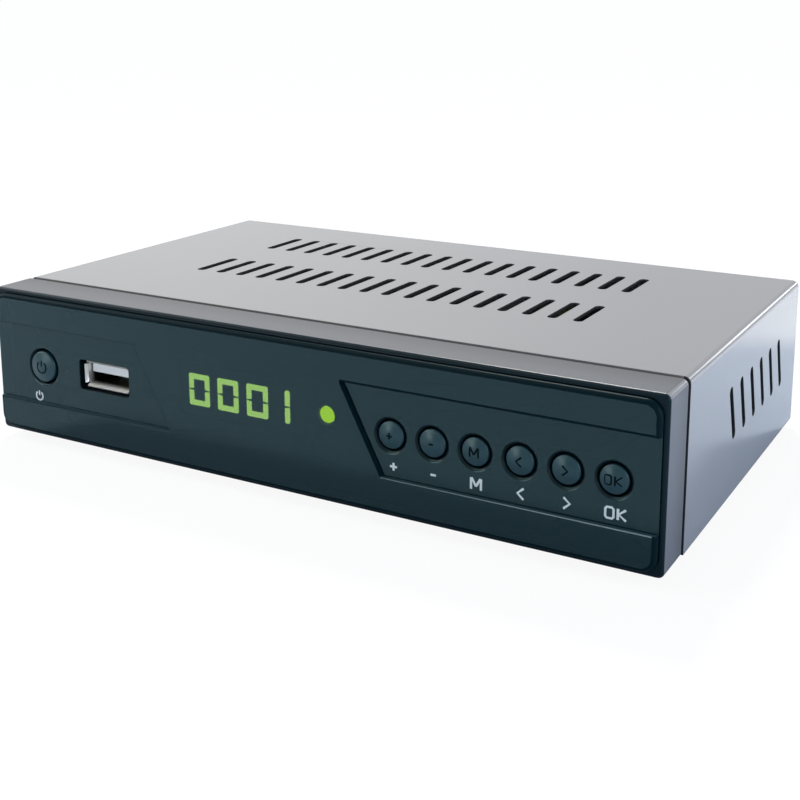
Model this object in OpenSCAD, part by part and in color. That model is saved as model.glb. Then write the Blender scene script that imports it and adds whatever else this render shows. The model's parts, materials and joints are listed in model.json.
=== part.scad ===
// Compact television receiver: a folded steel case with a moulded front bezel and a smoked
// front plate, seven push buttons over a display board, and a main board with rear sockets.
// Depths called s run backwards from the raised front of the plate. +Y points to the rear.

/* [Case] */
// Width of the case
case_w = 156; // [140:1:190]
// Depth of the case, from the raised front of the plate to the rear lip
case_d = 96; // [86:1:130]
// Height of the case without its feet
case_h = 33; // [30:0.5:44]
// Thickness of the folded steel sheet
sheet_t = 0.8; // [0.6:0.1:1.2]
// Inside radius of the folds in the cover
fold_r = 0.5; // [0.3:0.1:1.5]
// Clearance between parts that nest
nest_gap = 0.2; // [0.1:0.05:0.3]
// Height of the rear lip of the cover
lip_h = 7; // [6:0.5:9]
// Height of the side flanges of the base
flange_h = 10; // [6:0.5:11]
// Height of a rubber foot
foot_h = 2; // [1:0.5:6]
// Diameter of a rubber foot
foot_d = 11; // [8:0.5:16]
// Distance from the sides and the rear of the case to the centre of a foot
foot_inset = 15; // [12:1:24]
// Distance from the front edge of the base to the rim of a front foot
foot_setback = 2; // [1:0.5:8]

/* [Vents] */
// Slots in each row on the top
top_slots = 18; // [4:1:18]
// Distance between slots on the top
top_slot_pitch = 5.62; // [4.5:0.02:6.5]
// Length of a slot on the top
top_slot_len = 14; // [8:0.5:18]
// Width of every slot
slot_w = 2; // [1.4:0.1:2.6]
// Distance from the rear of the case to the middle of the rear row
rear_row_s = 23.7; // [18:0.1:26]
// Distance between the two rows on the top
row_gap_s = 28.2; // [20:0.1:36]
// Sideways offset of the rows from the middle of the case
top_slot_x = -0.8; // [-4:0.1:4]
// Slots on each side
side_slots = 6; // [2:1:6]
// Distance between slots on the side
side_slot_pitch = 7.6; // [5:0.1:9]
// Upright height of a slot on the side
side_slot_h = 11.4; // [6:0.2:14]
// Lean of the slots on the side, in degrees
side_slot_lean = 20; // [0:1:25]
// Depth of the middle of the side slots behind the front
side_slot_s = 60.6; // [52:0.2:64]
// Distance from the top of the case down to the middle of the side slots
side_slot_drop = 15.4; // [12:0.1:17]
// Slots in each row in the base
base_slots = 9; // [2:1:11]

/* [Bezel and plate] */
// Depth of the bezel band behind the front
bezel_d = 11; // [9:0.5:14]
// Width of the shadow gap between the bezel and the cover
seam_w = 1.4; // [0.6:0.1:2.4]
// Thickness of the bezel's walls
bezel_wall = 2.2; // [1.8:0.1:3]
// Thickness of the bezel's spigot inside the cover
spigot_t = 1.6; // [1.2:0.1:2]
// Length of the spigot inside the cover
spigot_len = 5; // [3:0.5:7]
// Radius of the bezel's corners in the front view
bezel_corner_r = 1.2; // [0.8:0.1:2]
// Radius of the bezel's front edges
bezel_edge_r = 0.8; // [0.4:0.1:0.8]
// Width of the bezel rim round the plate
rim_w = 0.9; // [0.8:0.1:1.4]
// Height of the raised part of the plate above its recessed fields
step_h = 0.9; // [0.8:0.1:1.4]
// Depth of the bezel's rim behind the raised part of the plate
rim_drop = 1.3; // [0.8:0.1:1.6]
// Thickness of the plate in its recessed fields
plate_t = 2.4; // [2:0.1:3]
// Clearance round the plate in the bezel
plate_gap = 0.1; // [0.05:0.05:0.2]
// Radius of the plate's corners
plate_corner_r = 3; // [1.5:0.1:4]
// Radius of the plate's raised edges
plate_edge_r = 0.9; // [0.4:0.1:1.2]
// Thickness of the bezel's front wall behind the plate
front_wall_t = 1.8; // [1.2:0.1:2.4]
// Height of the plain strip above the recessed fields
strip_top = 7.5; // [6:0.1:9]
// Height of the plain strip below the recessed fields
strip_bottom = 8.1; // [6:0.1:9]
// Sideways run of the slanted end of a recessed field
slant_run = 9; // [0:0.5:10]
// Distance from the middle of the first face button back to the slanted end of its field
field_margin = 1.7; // [0.5:0.1:3]
// Distance from the data port's hole to the slanted end of its field
port_margin = 2.6; // [0.5:0.1:4]

/* [Buttons] */
// Diameter of a face button
key_d = 5.5; // [5:0.1:6]
// Distance between face buttons
key_pitch = 8.8; // [8.6:0.1:9.4]
// Distance from the last face button to the right edge
key_edge = 9.2; // [8:0.1:12]
// Height of a face button above the recessed field
key_rise = 0.5; // [0.3:0.1:0.8]
// Diameter of the power button
power_d = 7; // [6:0.1:7.4]
// Distance from the power button to the left edge
power_edge = 14.2; // [11:0.1:15]
// Height of the power button above the recessed field
power_rise = 0.8; // [0.5:0.1:0.8]
// Clearance round a button in its hole
key_gap = 0.3; // [0.2:0.05:0.4]
// Width of the bevel round a button's hole
key_bevel = 0.5; // [0.2:0.1:0.6]
// Travel of a button
key_travel = 0.6; // [0.3:0.1:0.7]
// Thickness of the flange that keeps a button in
key_flange_t = 1; // [0.8:0.1:1.4]
// Overlap of the flange behind the wall
key_flange_w = 0.8; // [0.5:0.1:0.8]
// Diameter of the plunger behind the flange
plunger_d = 3.2; // [2.4:0.1:3.4]
// Width of a tactile switch
switch_w = 6; // [5:0.1:6.2]
// Height of a tactile switch body
switch_h = 3.5; // [3.2:0.1:4]
// Diameter of the switch's actuator
actuator_d = 3.4; // [3:0.1:3.6]
// Height of the actuator above the switch body
actuator_rise = 0.8; // [0.8:0.1:1.4]

/* [Display] */
// Height of a digit
digit_h = 6.8; // [6:0.1:8]
// Width of a digit
digit_w = 5.2; // [4:0.1:6]
// Distance between digits
digit_pitch = 7.35; // [6.5:0.05:7.6]
// Width of a lit segment
segment_w = 1.15; // [0.8:0.05:1.5]
// Gap between the upper and lower half of a digit
segment_gap = 0.2; // [0.1:0.05:0.5]
// Sideways place of the display from the middle between the data port and the face buttons
display_shift = -2.6; // [-5:0.1:-2]
// Height of the middle of the display above the middle of the case
display_rise = 0.5; // [-1:0.1:1.5]
// Margin of the display body round its digits
display_margin = 1.8; // [1:0.1:2]
// Thickness of the display body
display_t = 7; // [5:0.1:8]
// Diameter of the status lamp
led_d = 3.4; // [3:0.1:5]
// Distance from the middle of the display to the status lamp
led_pitch = 20.3; // [19:0.1:22]
// Distance from the status lamp down to the remote control receiver
ir_drop = 6.5; // [6.2:0.1:7]

/* [Data port] */
// Outside width of the port's shell
port_w = 13.1; // [12.9:0.1:13.3]
// Outside height of the port's shell
port_h = 5.9; // [5.7:0.1:6.3]
// Thickness of the shell
port_t = 0.3; // [0.25:0.05:0.4]
// Clearance round the shell in the plate
port_gap = 0.35; // [0.2:0.05:0.5]
// Depth of the shell's mouth behind the recessed field
port_setback = 1.05; // [0.3:0.05:1.5]
// Distance from the middle of the port to the left edge
port_edge = 31.8; // [27:0.1:34]
// Thickness of the port's tongue
tongue_t = 1.84; // [1.7:0.02:2]

/* [Boards] */
// Thickness of both boards
board_t = 1.6; // [1:0.1:2]
// Distance from the bezel's front wall to the front board
board_gap = 9.9; // [9.7:0.1:12]
// Margin of the front board inside the case, top and bottom
front_board_margin = 4.5; // [4:0.1:6]
// Height of the standoffs under the main board
standoff_h = 6; // [4:0.5:8]
// Margin of the main board inside the case on each side
main_board_margin = 12; // [8:0.5:14]
// Radius of a board screw's shank
screw_r = 1.25; // [1:0.05:1.5]
// Radial clearance of a screw in its hole
screw_gap = 0.05; // [0.02:0.01:0.1]

/* [Rear sockets] */
// Reach of the antenna sockets behind the case
socket_reach = 10; // [8.5:0.5:14]
// Radius of the antenna sockets' threaded barrel
barrel_r = 4.7; // [4.5:0.05:4.75]
// Width across the flats of the antenna nuts
nut_af = 11; // [11:0.5:13]
// Thickness of an antenna nut
nut_t = 2.1; // [1.5:0.1:3]
// Distance from the left edge of the case to the antenna input
antenna_edge = 34; // [32:0.5:40]
// Distance between the two antenna sockets
antenna_pitch = 20; // [16:0.5:21]
// Height of the antenna sockets' axis above the main board
antenna_rise = 7; // [6.6:0.1:8]
// Radius of the bore of the headphone-size AV jack
av_r = 1.8; // [1.75:0.05:1.9]
// Radius of the coaxial audio jack's sleeve
audio_r = 4.15; // [4:0.05:4.3]
// Distance from the right edge of the case to the power jack
power_jack_edge = 30; // [25:0.5:34]
// Clearance round a socket in the rear wall
socket_gap = 0.3; // [0.2:0.05:0.4]

/* [Hidden] */
$fn = 48;

// Reference planes
front_y = -(case_d + socket_reach) / 2;
top_z = foot_h + case_h;
mid_z = foot_h + case_h / 2;
slack = 1;

// Four points in the front view, set in from the sides and from the top and bottom of the case
function corner_points(edge, drop) =
  [for (x = [-1, 1], z = [-1, 1]) [x * (case_w / 2 - edge), mid_z + z * (case_h / 2 - drop)]];

// Depths behind the front
field_s = step_h;
rim_s = rim_drop;
plate_back_s = field_s + plate_t;
wall_back_s = plate_back_s + front_wall_t;
front_board_s = wall_back_s + board_gap;
front_board_back_s = front_board_s + board_t;
cover_s = bezel_d + seam_w;
spigot_end_s = cover_s + spigot_len;
flange_s = max(spigot_end_s, front_board_back_s) + slack;
rear_face_s = case_d - sheet_t;
rear_inner_s = rear_face_s - sheet_t;

// Case
bend_r = fold_r + sheet_t;
base_w = case_w - 2 * (sheet_t + nest_gap);
spigot_inset = sheet_t + nest_gap;
rear_top_z = top_z - bend_r - nest_gap;
rear_row = case_d - rear_row_s;
lip_run = 4 * bend_r;
foot_bevel = 0.6;
hook_w = 8;
hook_len = 2.5;
hook_edge = 28;
hook_xs = [for (k = [-1:1]) k * (case_w / 2 - hook_edge)];
hook_s = cover_s + spigot_len / 2;
lip_screw_edge = 14;
lip_screw_xs = [for (k = [-1:1]) k * (case_w / 2 - lip_screw_edge)];
lip_screw_z = top_z - (lip_h + sheet_t) / 2;
lip_screw_r = 1.5;
lip_screw_reach = 3;
lip_head_r = 2.75;
lip_head_t = 1.2;
lip_crown_r = 2.1;
lip_crown_t = 0.5;
base_slot_len = 12;
base_slot_pitch = 8;

// Plate and its recessed fields
plate_w = case_w - 2 * (rim_w + plate_gap);
plate_h = case_h - 2 * (rim_w + plate_gap);
field_top_z = top_z - strip_top;
field_bottom_z = foot_h + strip_bottom;
keys = 6;
key_xs = [for (k = [1 - keys:0]) case_w / 2 - key_edge + k * key_pitch];
right_field_x = key_xs[0] - field_margin;
port_x = -case_w / 2 + port_edge;
left_field_x = port_x + port_w / 2 + port_gap + port_margin + slant_run;
peg_r = 1;
peg_gap = 0.1;
peg_head_r = 1.7;
peg_head_t = 0.7;
peg_edge = 20;
peg_drop = 5;
peg_points = corner_points(peg_edge, peg_drop);

// Buttons
power_x = -case_w / 2 + power_edge;
key_hole_r = key_d / 2 + key_gap;
power_hole_r = power_d / 2 + key_gap;
key_edge_r = 0.5;
wall_hole_gap = 0.1;
flange_gap = 0.1;
flange_front_s = wall_back_s + flange_gap;
switch_front_s = front_board_s - switch_h;
actuator_front_s = switch_front_s - actuator_rise;
actuator_grip = 0.8;
actuator_spare = 0.3;
actuator_end_s = switch_front_s + actuator_grip;
actuator_well_s = actuator_end_s + key_travel + actuator_spare;
actuator_gap = 0.1;
button_xs = concat([power_x], key_xs);

// Front board and what it carries
front_board_side = 5;
front_board_w = case_w - 2 * front_board_side;
front_board_h = case_h - 2 * front_board_margin;
boss_edge = 10;
boss_drop = 7.5;
boss_r = 2.5;
boss_points = corner_points(boss_edge, boss_drop);
rib_t = 1.2;
rib_end_s = front_board_s - 2 * rib_t;
screw_loose = 4 * screw_gap;
screw_head_r = 2.3;
screw_crown_r = 1.8;
screw_head_t = 1.4;
window_gap = 0.3;
display_x = (port_x + port_w / 2 + key_xs[0] - key_d / 2) / 2 + display_shift;
display_z = mid_z + display_rise;
display_w = 3 * digit_pitch + digit_w + 2 * display_margin;
display_h = digit_h + 2 * display_margin;
display_gap = 0.3;
display_s = plate_back_s + display_gap;
spacer_inset = 1;
segment_t = 0.15;
segment_r = 0.4;
led_gap = 0.2;
led_s = plate_back_s + led_gap;
led_len = 5.5;
led_rim = 0.4;
led_edge = 0.3;
led_x = display_x + led_pitch;
ir_z = display_z - ir_drop;
ir_r = 2.4;
ir_w = 6;
ir_t = 4;

// Data port
port_s = field_s + port_setback;
port_corner_r = 0.7;
tongue_gap = 0.7;
tongue_w = port_w - 2 * (port_t + tongue_gap);
tongue_z = mid_z + port_h / 2 - port_t - tongue_gap - tongue_t;
tongue_setback = 1.5;
tongue_s = port_s + tongue_setback;
insulator_t = 3;
insulator_s = front_board_s - insulator_t;
contact_w = 1;
contact_t = 0.2;
contact_setback = 1;
inner_contact_x = 1;
outer_contact_x = 3.5;
window_w = 2.2;
window_s = port_s + 2.5 * window_w;
window_len = 3;

// Main board and what it carries
main_z = foot_h + sheet_t + standoff_h;
main_top_z = main_z + board_t;
main_w = case_w - 2 * main_board_margin;
board_space = 3.4;
main_s0 = front_board_back_s + board_space;
main_s1 = rear_inner_s - 2 * nest_gap;
standoff_r = 2.6;
standoff_inset = 5;
standoff_floor = 1;
standoff_points = [for (x = [-1, 1], s = [main_s0 + standoff_inset, main_s1 - standoff_inset])
                   [x * (main_w / 2 - standoff_inset), s]];
link_edge = 48;
link_w = 26;
link_h = 5;
link_lap = 4;
can_h = 14;
can_len = 30;
can_margin = 10;
can_step_w = 0.8;
can_step_h = 0.6;
antenna_x = -case_w / 2 + antenna_edge;
can_x0 = antenna_x - can_margin;
can_x1 = antenna_x + antenna_pitch + can_margin;
can_rear_s = rear_inner_s - nest_gap;

// Row of rear sockets, spread evenly between the tuner can and the power jack
video_w = 15;
av_body_w = 8;
audio_w = 10;
jack_w = 9;
power_jack_x = case_w / 2 - power_jack_edge;
socket_space = (power_jack_x - can_x1 - video_w - av_body_w - audio_w - jack_w / 2) / 4;
video_x = can_x1 + socket_space + video_w / 2;
av_x = video_x + video_w / 2 + socket_space + av_body_w / 2;
audio_x = av_x + av_body_w / 2 + socket_space + audio_w / 2;

// Parts on the main board, placed from the processor and from the sockets they serve
part_gap = 1.5;
chip_pitch = 30;
chip_setback = 6;
chip_x = power_jack_x - chip_pitch;
chip_s = (main_s0 + main_s1) / 2 - chip_setback;
chip_w = 15;
chip_t = 1.4;
sink_w = 22;
sink_h = 9;
sink_base_t = 1.8;
sink_fins = 7;
fin_t = 1;
memory_w = 9;
memory_len = 12;
memory_t = 1.1;
memory_gap = 6.5;
memory_dx = sink_w / 2 + memory_gap + memory_w / 2;
inductor_w = 7;
inductor_h = 4;
inductor_r = 4.4;
inductor_pitch = 10;
inductor_gap = 4;
inductor_x = chip_x + memory_dx + memory_w / 2 + inductor_gap + inductor_w / 2;
large_cap_r = 4;
large_cap_h = 11.5;
small_cap_r = 3.2;
small_cap_h = 8;
cap_pitch = 10;
cap_groove_r = 0.6;
cap_groove_h = 2;
cap_rim = 0.8;
cap_dip = 0.3;
crystal_len = 11;
crystal_w = 4.6;
crystal_h = 3.5;

// Rear sockets
antenna_z = main_top_z + antenna_rise;
tip_s = case_d + socket_reach;
washer_t = 0.6;
nut_s = rear_face_s + washer_t;
neck_s = nut_s + nut_t;
washer_margin = 1.3;
neck_len = 0.6;
neck_cut = 0.4;
barrel_wall = 1.2;
mouth_depth = 3;
insulator_setback = 0.6;
insulator_floor = 0.4;
pin_hole_r = 0.6;
video_h = 5.6;
video_len = 11.5;
video_reach = 0.5;
video_s = rear_face_s + video_reach;
video_z = main_top_z + video_h / 2;
video_t = 0.4;
video_cut = 1.6;
video_back_t = 2;
video_tongue_side = 2.1;
video_tongue_t = 0.9;
video_tongue_setback = 1.4;
av_rise = 4;
av_z = main_top_z + av_rise;
av_len = 13;
av_wall = 1.6;
av_body_h = 7.6;
av_reach = 1.2;
av_s = rear_face_s + av_reach;
audio_rise = 6.6;
audio_z = main_top_z + audio_rise;
audio_len = 12;
audio_reach = 9;
audio_sleeve_t = 0.6;
audio_setback = 0.8;
audio_bore_r = 1.6;
audio_floor = 2;
jack_reach = 0.3;
audio_s = rear_face_s + jack_reach;
audio_tip_s = audio_s + audio_reach;
jack_h = 11;
jack_len = 14;
jack_hole_r = 3.2;
jack_depth = 9.5;
jack_pin_r = 1.05;
jack_pin_setback = 1.5;
jack_rise = 6.5;
jack_z = main_top_z + jack_rise;
jack_s = rear_face_s + jack_reach;

// Shapes drawn in a view and carried through the part

// A shape drawn in the front view, x to the right and z up, carried from depth s0 to depth s1
module through(s0, s1) {
  translate([0, front_y + s1, 0]) rotate([90, 0, 0]) linear_extrude(s1 - s0) children();
}

// A shape drawn in the side view, depth s to the right and z up, carried across a width
module across(w) {
  translate([-w / 2, front_y, 0]) rotate([90, 0, 90]) linear_extrude(w) children();
}

// A round bar along the depth of the part
module rod(x, z, s0, s1, r0, r1 = undef) {
  translate([x, front_y + s0, z]) rotate([-90, 0, 0])
    cylinder(r1 = r0, r2 = is_undef(r1) ? r0 : r1, h = s1 - s0);
}

// An upright box, placed by its middle in x, its depth range and its height range
module block(x, w, s0, s1, z0, z1) {
  translate([x - w / 2, front_y + s0, z0]) cube([w, s1 - s0, z1 - z0]);
}

module rounded_rect(w, h, r) {
  square([w - 2 * r, h], center = true);
  square([w, h - 2 * r], center = true);
  for (x = [-1, 1], y = [-1, 1])
    translate([x * (w / 2 - r), y * (h / 2 - r)]) circle(r = r);
}

// A slot with round ends, upright about the origin
module slot(len, w) {
  square([w, len - w], center = true);
  for (y = [-1, 1]) translate([0, y * (len - w) / 2]) circle(d = w);
}

// An outline with its two upper corners rounded, standing on z0
module arch(w, z0, z1, r) {
  translate([-w / 2, z0]) square([w, z1 - z0 - r]);
  translate([-w / 2 + r, z0]) square([w - 2 * r, z1 - z0]);
  for (x = [-1, 1]) translate([x * (w / 2 - r), z1 - r]) circle(r = r);
}

// The outline of a block whose two front edges are rounded, drawn with depth to the right
module front_rounded(s0, s1, h, r) {
  translate([s0 + r, -h / 2]) square([s1 - s0 - r, h]);
  translate([s0, -h / 2 + r]) square([r, h - 2 * r]);
  for (y = [-1, 1]) translate([s0 + r, y * (h / 2 - r)]) circle(r = r);
}

// A block centred on the case in the front view, with round corners and round front edges
module front_block(w, h, s0, s1, corner_r, edge_r) {
  intersection() {
    through(s0, s1) translate([0, mid_z]) rounded_rect(w, h, corner_r);
    across(w + slack) translate([0, mid_z]) front_rounded(s0, s1, h, edge_r);
    translate([0, front_y, mid_z - h / 2 - slack]) linear_extrude(h + 2 * slack)
      rotate(90) front_rounded(s0, s1, w, edge_r);
  }
}

// Case

module cover_sheet() {
  difference() {
    arch(case_w, foot_h, top_z, bend_r);
    arch(case_w - 2 * sheet_t, foot_h - slack, top_z - sheet_t, fold_r);
  }
}

// The lip at the rear of the cover, as a folded corner in the side view
module lip_sheet() {
  difference() {
    intersection() {
      translate([0, top_z - lip_h]) square([case_d, lip_h]);
      translate([case_d / 2, 0]) arch(case_d, 0, top_z, bend_r);
    }
    translate([case_d / 2, 0]) arch(case_d - 2 * sheet_t, 0, top_z - sheet_t, fold_r);
    square([case_d - lip_run, top_z]);
  }
}

module top_vents() {
  for (row = [0, 1], k = [0:top_slots - 1])
    translate([top_slot_x + (k - (top_slots - 1) / 2) * top_slot_pitch,
               front_y + rear_row - row * row_gap_s, top_z - sheet_t - slack])
      linear_extrude(sheet_t + 2 * slack) slot(top_slot_len, slot_w);
}

module side_vents() {
  length = side_slot_h / cos(side_slot_lean) + slot_w * (1 - 1 / cos(side_slot_lean));
  across(case_w + 2 * slack)
    for (k = [0:side_slots - 1])
      translate([side_slot_s + (k - (side_slots - 1) / 2) * side_slot_pitch, top_z - side_slot_drop])
        rotate(side_slot_lean) slot(length, slot_w);
}

module top_cover() color("silver") {
  difference() {
    union() {
      through(cover_s, case_d - bend_r) cover_sheet();
      across(case_w - 2 * bend_r) lip_sheet();
      through(case_d - bend_r, rear_face_s) side_returns();
    }
    top_vents();
    side_vents();
    for (x = lip_screw_xs) rod(x, lip_screw_z, rear_inner_s, case_d + slack, lip_screw_r + 2 * screw_gap);
  }
}

// The last of the cover's sides, below the rounded top of the lip
module side_returns() {
  for (x = [-1, 1])
    translate([x * (case_w - sheet_t) / 2, (foot_h + top_z - bend_r) / 2])
      square([sheet_t, case_h - bend_r], center = true);
}

module rear_cutouts() {
  through(rear_inner_s - slack, rear_face_s + slack) {
    for (k = [0, 1]) translate([antenna_x + k * antenna_pitch, antenna_z]) circle(r = barrel_r + socket_gap);
    translate([video_x, video_z]) square([video_w + 2 * socket_gap, video_h + 2 * socket_gap], center = true);
    translate([av_x, av_z]) circle(r = av_r + av_wall + socket_gap);
    translate([audio_x, audio_z])
      square([audio_w + 2 * socket_gap, 2 * (audio_rise + socket_gap)], center = true);
    translate([power_jack_x, main_top_z + jack_h / 2])
      square([jack_w + 2 * socket_gap, jack_h + 2 * socket_gap], center = true);
    for (x = lip_screw_xs) translate([x, lip_screw_z]) circle(r = lip_screw_r + screw_gap);
  }
}

module base_vents() {
  for (row = [0, 1], k = [0:base_slots - 1])
    translate([(k - (base_slots - 1) / 2) * base_slot_pitch,
               front_y + (main_s0 + main_s1) / 2 + (row - 0.5) * 2 * base_slot_len, foot_h - slack])
      linear_extrude(sheet_t + 2 * slack) slot(base_slot_len, slot_w);
}

module chassis_base() color("dimgray") {
  difference() {
    union() {
      block(0, base_w, cover_s, rear_face_s, foot_h, foot_h + sheet_t);
      for (x = [-1, 1])
        block(x * (base_w - sheet_t) / 2, sheet_t, flange_s, rear_face_s, foot_h, foot_h + flange_h);
      block(0, base_w, rear_inner_s, rear_face_s, foot_h, rear_top_z);
    }
    rear_cutouts();
    base_vents();
    for (x = hook_xs)
      block(x, hook_w + 2 * nest_gap, hook_s - hook_len / 2 - nest_gap, hook_s + hook_len / 2 + nest_gap,
            foot_h - slack, foot_h + sheet_t + slack);
  }
}

module rubber_feet() color("black") {
  for (x = [-1, 1], s = [cover_s + foot_setback + foot_d / 2, case_d - foot_inset])
    translate([x * (case_w / 2 - foot_inset), front_y + s, 0]) {
      cylinder(r1 = foot_d / 2 - foot_bevel, r2 = foot_d / 2, h = foot_bevel);
      translate([0, 0, foot_bevel]) cylinder(d = foot_d, h = foot_h - foot_bevel);
    }
}

module cover_screws() color("silver") {
  for (x = lip_screw_xs) {
    crown_s = case_d + lip_head_t;
    rod(x, lip_screw_z, rear_inner_s - lip_screw_reach, case_d, lip_screw_r);
    rod(x, lip_screw_z, case_d, crown_s, lip_head_r);
    rod(x, lip_screw_z, crown_s, crown_s + lip_crown_t, lip_head_r, lip_crown_r);
  }
}

// Bezel and plate

module button_holes(s0, s1, extra) {
  rod(power_x, mid_z, s0, s1, power_hole_r + extra);
  for (x = key_xs) rod(x, mid_z, s0, s1, key_hole_r + extra);
}

module port_hole(s0, s1) {
  through(s0, s1) translate([port_x, mid_z])
    rounded_rect(port_w + 2 * port_gap, port_h + 2 * port_gap, port_corner_r);
}

module bezel_shell() {
  difference() {
    union() {
      front_block(case_w, case_h, rim_s, bezel_d, bezel_corner_r, bezel_edge_r);
      through(bezel_d - slack, spigot_end_s) translate([0, mid_z])
        rounded_rect(case_w - 2 * spigot_inset, case_h - 2 * spigot_inset, bezel_corner_r);
    }
    through(rim_s - slack, plate_back_s) translate([0, mid_z])
      rounded_rect(plate_w + 2 * plate_gap, plate_h + 2 * plate_gap, plate_corner_r + plate_gap);
    through(wall_back_s, bezel_d - slack) translate([0, mid_z])
      square([case_w - 2 * bezel_wall, case_h - 2 * bezel_wall], center = true);
    through(bezel_d - slack, spigot_end_s + slack) translate([0, mid_z])
      square([case_w - 2 * (spigot_inset + spigot_t), case_h - 2 * (spigot_inset + spigot_t)], center = true);
  }
}

// A boss for a screw of the front board, with ribs to the two nearest walls
module board_boss(p) {
  x_side = sign(p[0]);
  z_side = sign(p[1] - mid_z);
  x_rib = boss_edge - spigot_inset - spigot_t / 2;
  z_rib = boss_drop - spigot_inset - spigot_t / 2;
  rod(p[0], p[1], plate_back_s, front_board_s, boss_r);
  through(plate_back_s, rib_end_s) {
    translate([p[0] + x_side * x_rib / 2, p[1]]) square([x_rib, rib_t], center = true);
    translate([p[0], p[1] + z_side * z_rib / 2]) square([rib_t, z_rib], center = true);
  }
}

module front_bezel() color("gray") {
  difference() {
    union() {
      bezel_shell();
      for (p = boss_points) board_boss(p);
      for (x = hook_xs)
        block(x, hook_w, hook_s - hook_len / 2, hook_s + hook_len / 2,
              foot_h + nest_gap, foot_h + spigot_inset + slack);
    }
    button_holes(plate_back_s - slack, wall_back_s + slack, wall_hole_gap);
    port_hole(plate_back_s - slack, wall_back_s + slack);
    through(plate_back_s - slack, wall_back_s + slack) {
      translate([display_x, display_z])
        square([display_w + 2 * window_gap, display_h + 2 * window_gap], center = true);
      translate([led_x, display_z]) circle(r = led_d / 2 + window_gap);
      translate([led_x, ir_z]) circle(r = ir_r + window_gap);
    }
    for (p = peg_points) rod(p[0], p[1], plate_back_s - slack, wall_back_s + slack, peg_r + peg_gap);
    for (p = boss_points) rod(p[0], p[1], wall_back_s, front_board_s + slack, screw_r + screw_gap);
  }
}

module right_field() {
  far = case_w / 2 + slack;
  polygon([[right_field_x - slant_run, field_top_z], [right_field_x, field_bottom_z],
           [far, field_bottom_z], [far, field_top_z]]);
}

module left_field() {
  far = -case_w / 2 - slack;
  polygon([[far, field_top_z], [far, field_bottom_z],
           [left_field_x, field_bottom_z], [left_field_x - slant_run, field_top_z]]);
}

// The plate is held by four pegs, set to heads behind the bezel's front wall
module front_plate() color([0.1, 0.16, 0.18]) {
  for (p = peg_points) {
    rod(p[0], p[1], plate_back_s - slack, wall_back_s, peg_r);
    rod(p[0], p[1], wall_back_s, wall_back_s + peg_head_t, peg_head_r, peg_r);
  }
  difference() {
    front_block(plate_w, plate_h, 0, plate_back_s, plate_corner_r, plate_edge_r);
    through(-slack, field_s) {
      right_field();
      left_field();
    }
    button_holes(-slack, plate_back_s + slack, 0);
    rod(power_x, mid_z, field_s, field_s + key_bevel, power_hole_r + key_bevel, power_hole_r);
    for (x = key_xs)
      rod(x, mid_z, field_s, field_s + key_bevel, key_hole_r + key_bevel, key_hole_r);
    port_hole(-slack, plate_back_s + slack);
  }
}

// Buttons

// A round button: a cap with a rounded edge, a flange behind the wall and a plunger
module button(x, d, rise) {
  cap_s = field_s - rise;
  rod(x, mid_z, cap_s + key_edge_r, flange_front_s, d / 2);
  rod(x, mid_z, cap_s, cap_s + key_edge_r, d / 2 - key_edge_r);
  translate([x, front_y + cap_s + key_edge_r, mid_z]) rotate([-90, 0, 0])
    rotate_extrude() translate([d / 2 - key_edge_r, 0]) circle(r = key_edge_r);
  rod(x, mid_z, flange_front_s, flange_front_s + key_flange_t, d / 2 + key_gap + key_flange_w);
  rod(x, mid_z, flange_front_s + key_flange_t, actuator_front_s, plunger_d / 2);
}

module face_button(k) color([0.13, 0.18, 0.2]) button(key_xs[k], key_d, key_rise);

module power_button() color([0.13, 0.18, 0.2]) button(power_x, power_d, power_rise);
module plus_button() face_button(0);
module minus_button() face_button(1);
module menu_button() face_button(2);
module left_button() face_button(3);
module right_button() face_button(4);
module ok_button() face_button(5);

// The sliding pin of a tactile switch, pressed by the button's plunger
module actuator(k) color("darkred") {
  rod(button_xs[k], mid_z, actuator_front_s, actuator_end_s, actuator_d / 2);
}

module power_actuator() actuator(0);
module plus_actuator() actuator(1);
module minus_actuator() actuator(2);
module menu_actuator() actuator(3);
module left_actuator() actuator(4);
module right_actuator() actuator(5);
module ok_actuator() actuator(6);

module switch_bodies() color("dimgray") {
  for (x = button_xs)
    difference() {
      block(x, switch_w, switch_front_s, front_board_s, mid_z - switch_w / 2, mid_z + switch_w / 2);
      rod(x, mid_z, switch_front_s - slack, actuator_well_s, actuator_d / 2 + actuator_gap);
    }
}

// Front board

module front_board() color("darkgreen") {
  difference() {
    block(0, front_board_w, front_board_s, front_board_back_s,
          mid_z - front_board_h / 2, mid_z + front_board_h / 2);
    for (p = boss_points)
      rod(p[0], p[1], front_board_s - slack, front_board_back_s + slack, screw_r + screw_loose);
  }
}

module front_board_screws() color("silver") {
  for (p = boss_points) {
    rod(p[0], p[1], wall_back_s + slack, front_board_back_s, screw_r);
    rod(p[0], p[1], front_board_back_s, front_board_back_s + screw_head_t, screw_head_r, screw_crown_r);
  }
}

module display_body() color([0.08, 0.08, 0.08]) {
  block(display_x, display_w, display_s, display_s + display_t,
        display_z - display_h / 2, display_z + display_h / 2);
}

// The notch at mid height that parts the two halves of a digit, wider on the inner side of the bar
module digit_notch(inner_x, outer_x) {
  wide = 1.5 * segment_gap;
  narrow = segment_gap / 2;
  polygon([[inner_x, -wide], [outer_x, -narrow], [outer_x, narrow], [inner_x, wide]]);
}

module digit_zero() {
  inner_x = digit_w / 2 - segment_w;
  difference() {
    rounded_rect(digit_w, digit_h, segment_r);
    square([2 * inner_x, digit_h - 2 * segment_w], center = true);
    for (side = [-1, 1])
      scale([side, 1]) digit_notch(inner_x - segment_gap, digit_w / 2 + segment_gap);
  }
}

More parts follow.
